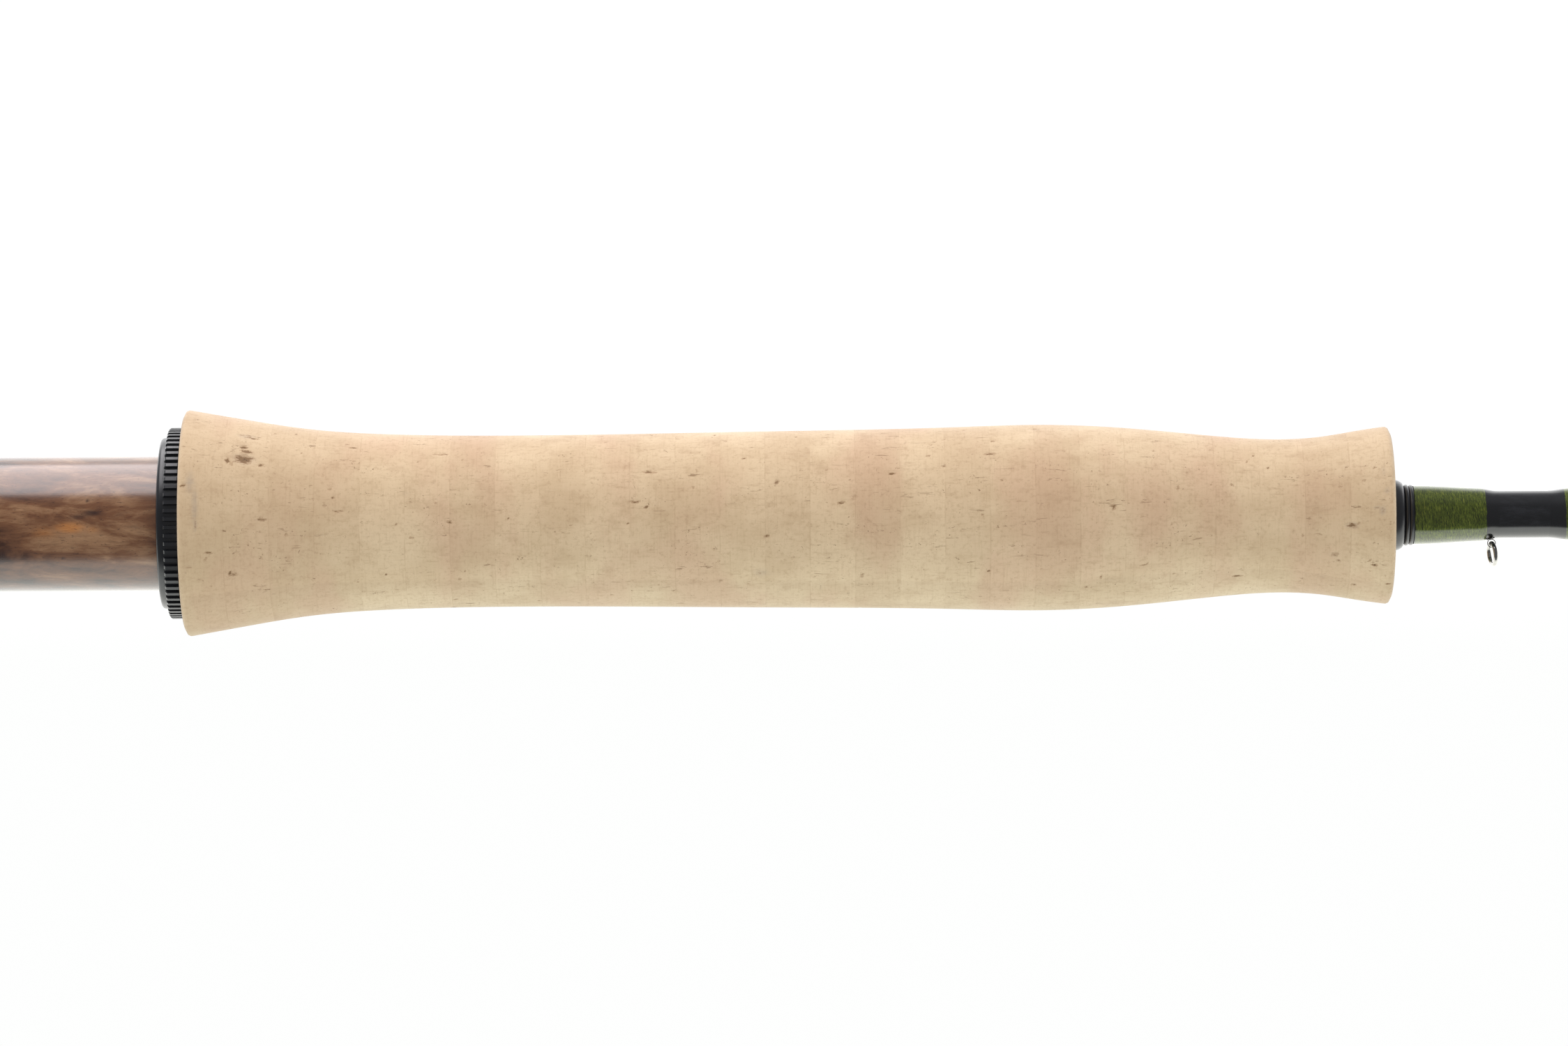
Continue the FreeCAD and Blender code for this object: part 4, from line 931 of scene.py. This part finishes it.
def snakeSkin(fromTip):
    # the wire's middle runs along its reach while it turns once round an axis under the blank, by
    # t - sin t, so that it leaves and meets its feet along the rod
    s = snakeShape
    middle = rod["length"] - fromTip
    half = (s["small"] + (s["large"] - s["small"]) * fromTip / stripper["fromTip"]) / 2
    t = np.linspace(0, fullTurn, 61)
    turn = t - np.sin(t)
    start = footLine(middle - s["reach"] / 2, s["wire"])
    bend = start + np.column_stack([s["reach"] * t / fullTurn, half * np.sin(turn), half * (np.cos(turn) - 1)])
    foot = np.array([s["foot"] - s["wire"], 0, 0])
    back, front = straight(bend[0] - foot, bend[0])[:-1], straight(bend[-1], bend[-1] + foot)[1:]
    return wireSkin(np.vstack([back, bend, front]), s["wire"])


def footWrapSkin(toe, heel, footRadius):
    # seen along the rod, the skin is the farther of two circles from the rod's axis: the sleeve
    # round the blank and the ridge round the foot. Both are let down to the blank at the ends
    end = toe + math.copysign(1.5, toe - heel)
    low, high = min(end, heel), max(end, heel)
    x = np.linspace(low, high, 40)
    angle = around(64)
    fall = ease((x - low) / 0.9 + 0.12) * ease((high - x) / 0.9 + 0.12)
    skin = blankRadius(x) + 0.01
    drop = -float(footLine(min(toe, heel), footRadius)[2])
    down = -np.sin(angle)[None]
    ridge = footRadius + wrapShape["thickness"] * 0.7 * fall
    onToe = ease(1 - (np.abs(x - heel) - abs(toe - heel)) / 1.3)  # the ridge runs out past the toe
    reach = drop * down + np.sqrt(np.maximum(ridge[:, None] ** 2 - (drop * np.cos(angle)[None]) ** 2, 0))
    overFoot = (drop * np.abs(np.cos(angle))[None] < ridge[:, None]) & (down > 0)
    sleeve = skin[:, None] + wrapShape["thickness"] * fall[:, None] * np.ones_like(down)
    outer = np.maximum(sleeve, np.where(overFoot, sleeve + (reach - sleeve) * onToe[:, None], 0))
    web = np.exp(-(np.arccos(np.clip(down, -1, 1)) * drop / (2.2 * footRadius)) ** 2)  # varnish fills the corner
    fillet = sleeve + web * footRadius * 0.55 * (fall * onToe)[:, None]
    outer = np.maximum(outer, np.minimum(fillet, drop + 0.6 * footRadius))
    grid = np.vstack([outer, np.broadcast_to((blankRadius(x[::-1]) - 0.02)[:, None], outer.shape)])
    return gridSkin(ringGrid(np.concatenate([x, x[::-1]])[:, None], grid, angle[None]))


def footWraps(name, ends, footRadius, body, node):  # ends are the toe and heel of each foot
    wraps = [footWrapSkin(toe, heel, footRadius) for toe, heel in ends]
    away = [math.copysign(1, toe - heel) for toe, heel in ends]
    spans = [tuple(sorted((toe + 0.6 * side, heel + 0.2 * side))) for (toe, heel), side in zip(ends, away)]
    makePiece(name, wraps, (wrapMaterial(name.replace("Wraps", "Thread"), spans), "wrap_green"), body, node, 60)


for number, name in ((1, "second"), (2, "third"), (3, "tip")):
    n = np.arange(1, snakeShape["count"] + 1)
    places = n * snakeShape["first"] + n * (n - 1) / 2 * snakeShape["step"]
    places = places[((rod["length"] - places) / jointPlace(1)).astype(int) == number]
    heel, toe = snakeShape["reach"] / 2 + 0.8, snakeShape["reach"] / 2 + snakeShape["foot"]
    middles = rod["length"] - places
    ends = [(middle + side * toe, middle + side * heel) for middle in middles for side in (-1, 1)]
    wires = [snakeSkin(place) for place in places]
    makePiece("snakeGuides" + name.title(), wires, steel, bodyNames[number], "snake_guides_" + name)
    footWraps("snakeWraps" + name.title(), ends, snakeShape["wire"], bodyNames[number], "snake_wraps_" + name)
print("snake guides made")

# Stripping guide: a hard ring in a hoop on three legs.


def hungTube(x, z, inner, outer, width, eases):  # turned round the guide's own axis, at z
    low, high = x - width / 2, x + width / 2
    corners = [(low, inner, eases[0]), (low, outer, eases[1]), (high, outer, eases[1]), (high, inner, eases[0])]
    points, faces = turnedSkin(easedOutline(corners, 8), 96)
    return points + np.array([0, 0, z]), faces


def stripperPieces():
    s = stripper
    x = rod["length"] - s["fromTip"]
    centre = np.array([x, 0.0, -(float(blankRadius(x)) + s["height"])])
    hoopBore = s["hole"] + s["wall"] + 0.05
    middle = hoopBore + s["hoopWall"] / 2
    ring = hungTube(x, centre[2], s["hole"], s["hole"] + s["wall"], s["width"], (0.75, 0.15))
    makePiece("strippingRing", [ring], ceramic, "second_section", "stripping_guide_ring", 60)
    skins = [hungTube(x, centre[2], hoopBore, hoopBore + s["hoopWall"], s["width"] * 0.6, (0.1, 0.3))]
    for direction, up in ((1, 90.0), (-1, s["lean"]), (-1, 180 - s["lean"])):
        foot = footLine(x + direction * s["stride"], s["leg"])
        toe = footLine(foot[0] + direction * (s["foot"] - s["leg"]), s["leg"])
        up = math.radians(up)
        hold = centre + np.array([0, math.cos(up), math.sin(up)]) * (middle + 0.12)
        t = np.linspace(0, 1, 9)[:, None]
        before, after = foot + (toe - foot) * s["bend"], foot + (hold - foot) * s["bend"]
        bend = (1 - t) ** 2 * before + 2 * t * (1 - t) * foot + t ** 2 * after
        path = np.vstack([straight(toe, bend[0])[:-1], bend, straight(bend[-1], hold, 12)[1:]])
        skins.append(wireSkin(path, s["leg"]))
    makePiece("strippingFrame", skins, steel, "second_section", "stripping_guide_frame", 50)
    ends = [(x + side * (s["stride"] + s["foot"]), x + side * (s["stride"] + 1)) for side in (-1, 1)]
    footWraps("strippingWraps", ends, s["leg"], "second_section", "stripping_guide_wraps")


stripperPieces()
print("stripping guide made")

# Tip-top: a tube over the blank's end, and a loop on two legs.

tipShape = {"end": rod["length"] - 3.8, "length": 10.0, "wall": 0.35, "radius": 2.3, "wire": 0.4, "tilt": 65.0}


def tipTopPieces():
    s = tipShape
    start = s["end"] - s["length"]
    bore = float(blankRadius(start)) + 0.05
    outer = bore + s["wall"]
    tube = easedOutline([(start, bore, 0.05), (start, outer, 0.15), (s["end"], outer, 0.2)])[:-1]
    closedEnd = [[s["end"], outer * 0.5], [s["end"], 0.02], [s["end"] - 0.4, 0.02], [s["end"] - 0.4, bore]]
    tube = turnedSkin(np.vstack([tube, closedEnd]), 48)
    makePiece("tipTube", [tube], steel, "tip_section", "tip_top_tube", 40)
    tilt = math.radians(s["tilt"])
    centre = np.array([s["end"] + s["radius"] * 0.5, 0.0, -(s["radius"] + 0.4)])

    def tilted(x, y, z):  # turned about Y
        along, up = x * math.cos(tilt) + z * math.sin(tilt), z * math.cos(tilt) - x * math.sin(tilt)
        return np.stack([along, y, up], -1) + centre

    a, b = around(64)[:, None], around(16)[None]
    out = s["radius"] + s["wire"] * np.cos(b)
    loop = tilted(*np.broadcast_arrays(out * np.cos(a), out * np.sin(a), s["wire"] * np.sin(b)))
    skins = [gridSkin(loop)]
    for side in (-1, 1):
        hold = tilted(*(np.array(v, float) for v in (0, side * s["radius"], 0)))
        root = np.array([s["end"] - 5, side * (outer + s["wire"]) * 0.8, -(outer + s["wire"]) * 0.6])
        skins.append(wireSkin(straight(root, hold, 12), s["wire"]))
    makePiece("tipLoop", skins, steel, "tip_section", "tip_top_loop")


tipTopPieces()
print("tip-top made")

# Camera, lights, surroundings and floor.

view = {"centreX": 190.2, "height": -0.53, "distance": 1000.0, "lens": 161.1, "roll": 0.39}
cameraData = bpy.data.cameras.new("camera")
cameraData.lens, cameraData.sensor_width = view["lens"], 36.0
cameraData.clip_start, cameraData.clip_end = 0.01, 100.0
camera = bpy.data.objects.new("camera", cameraData)
scene.collection.objects.link(camera)
camera.location = (view["centreX"] * mm, -view["distance"] * mm, view["height"] * mm)
camera.rotation_euler = (math.pi / 2, 0, 0)
camera.rotation_euler.rotate_axis("Z", math.radians(-view["roll"]))
scene.camera = camera

softbox = {"centre": (0.01, -0.060, 0.60), "size": (0.20, 0.84), "power": 15.5, "colour": (1.0, 0.97, 0.99)}
lamp = bpy.data.lights.new("softbox", "AREA")
lamp.shape, lamp.size, lamp.size_y = "RECTANGLE", *softbox["size"]
lamp.energy = softbox["power"] * softbox["size"][0] * softbox["size"][1]
lamp.color = softbox["colour"]
softboxObject = bpy.data.objects.new("softbox", lamp)
softboxObject.location = softbox["centre"]
softboxObject.visible_camera = False
scene.collection.objects.link(softboxObject)

# What the rod sees around it, by the angle about the rod: 0 is in front, 90 overhead, 180 behind
# and -90 below. It is dim in front, with a bright wall behind and a bright table below.
surroundings = {
    "matt": [
        (-180, (1.75, 1.93, 2.14)), (-174, (1.84, 2.08, 2.12)), (-56, (1.70, 1.92, 2.00)),
        (-45, (0.78, 0.78, 0.78)), (10, (0.84, 0.84, 0.84)), (48, (0.98, 0.97, 0.98)),
        (66, (1.22, 1.21, 1.25)), (98, (1.25, 1.25, 1.33)),
        (112, (1.70, 1.80, 2.05)), (174, (1.80, 1.90, 2.15)), (180, (1.75, 1.93, 2.10)),
    ],
    "mirrored": [
        (-180, (2.1, 2.1, 2.05)), (-150, (2.2, 2.2, 2.1)), (-118, (2.2, 2.22, 2.1)), (-70, (2.0, 2.05, 1.95)),
        (-60, (0.18, 0.18, 0.18)), (-45, (0.15, 0.15, 0.155)), (40, (0.15, 0.15, 0.155)),
        (68, (0.26, 0.26, 0.27)), (98, (0.26, 0.26, 0.27)), (112, (0.45, 0.45, 0.46)), (128, (1.5, 1.5, 1.5)), (145, (2.1, 2.1, 2.1)),
        (174, (2.1, 2.1, 2.1)), (180, (2.1, 2.1, 2.05)),
    ],
    # seen is the background behind the rod: white, and a touch darker below the rod as painted shade of the table
    "seen": [(1.02, 1.02, 1.02), (0.99, 0.995, 0.99)],
    "brightest": 4.0,
}
world = bpy.data.worlds.new("studio")
world.use_nodes = True
scene.world = world
sky = world.node_tree.nodes["Background"]
direction = addNode(sky, "ShaderNodeTexCoord", {}).outputs["Generated"]
dirZ = addNode(sky, "ShaderNodeSeparateXYZ", {0: direction}).outputs["Z"]
turnShare = plus(0.5, times(roundRod(direction)[1], 1 / fullTurn))


def dimmed(colour):  # the background's strength brings it back
    return tuple(c / surroundings["brightest"] for c in colour)


def surrounded(key):
    return ramp(turnShare, [((angle + 180) / 360, dimmed(colour)) for angle, colour in surroundings[key]])


rays = addNode(sky, "ShaderNodeLightPath", {}).outputs
white, shadedWhite = (dimmed(tint) for tint in surroundings["seen"])
colour = mixed(rays["Is Glossy Ray"], surrounded("matt"), surrounded("mirrored"))
# camera rays see white, with painted shade of the table a touch darker below the rod
colour = mixed(rays["Is Camera Ray"], colour, mixed(between(dirZ, -0.006, -0.020), white, shadedWhite))
connect(sky, "Color", colour)
sky.inputs["Strength"].default_value = surroundings["brightest"]

floorMesh = bpy.data.meshes.new("floor")
floorMesh.from_pydata([(-5, -6, -1), (7, -6, -1), (7, 6, -1), (-5, 6, -1)], [], [(0, 1, 2, 3)])
floor = bpy.data.objects.new("floor", floorMesh)
scene.collection.objects.link(floor)
pale, shader = newMaterial("paleFloor", roughness=0.8)
shader.inputs["Base Color"].default_value = (0.85, 0.85, 0.84, 1)
floorMesh.materials.append(pale)
floor.visible_diffuse = False
floor.visible_glossy = False
print("camera, light and floor made")
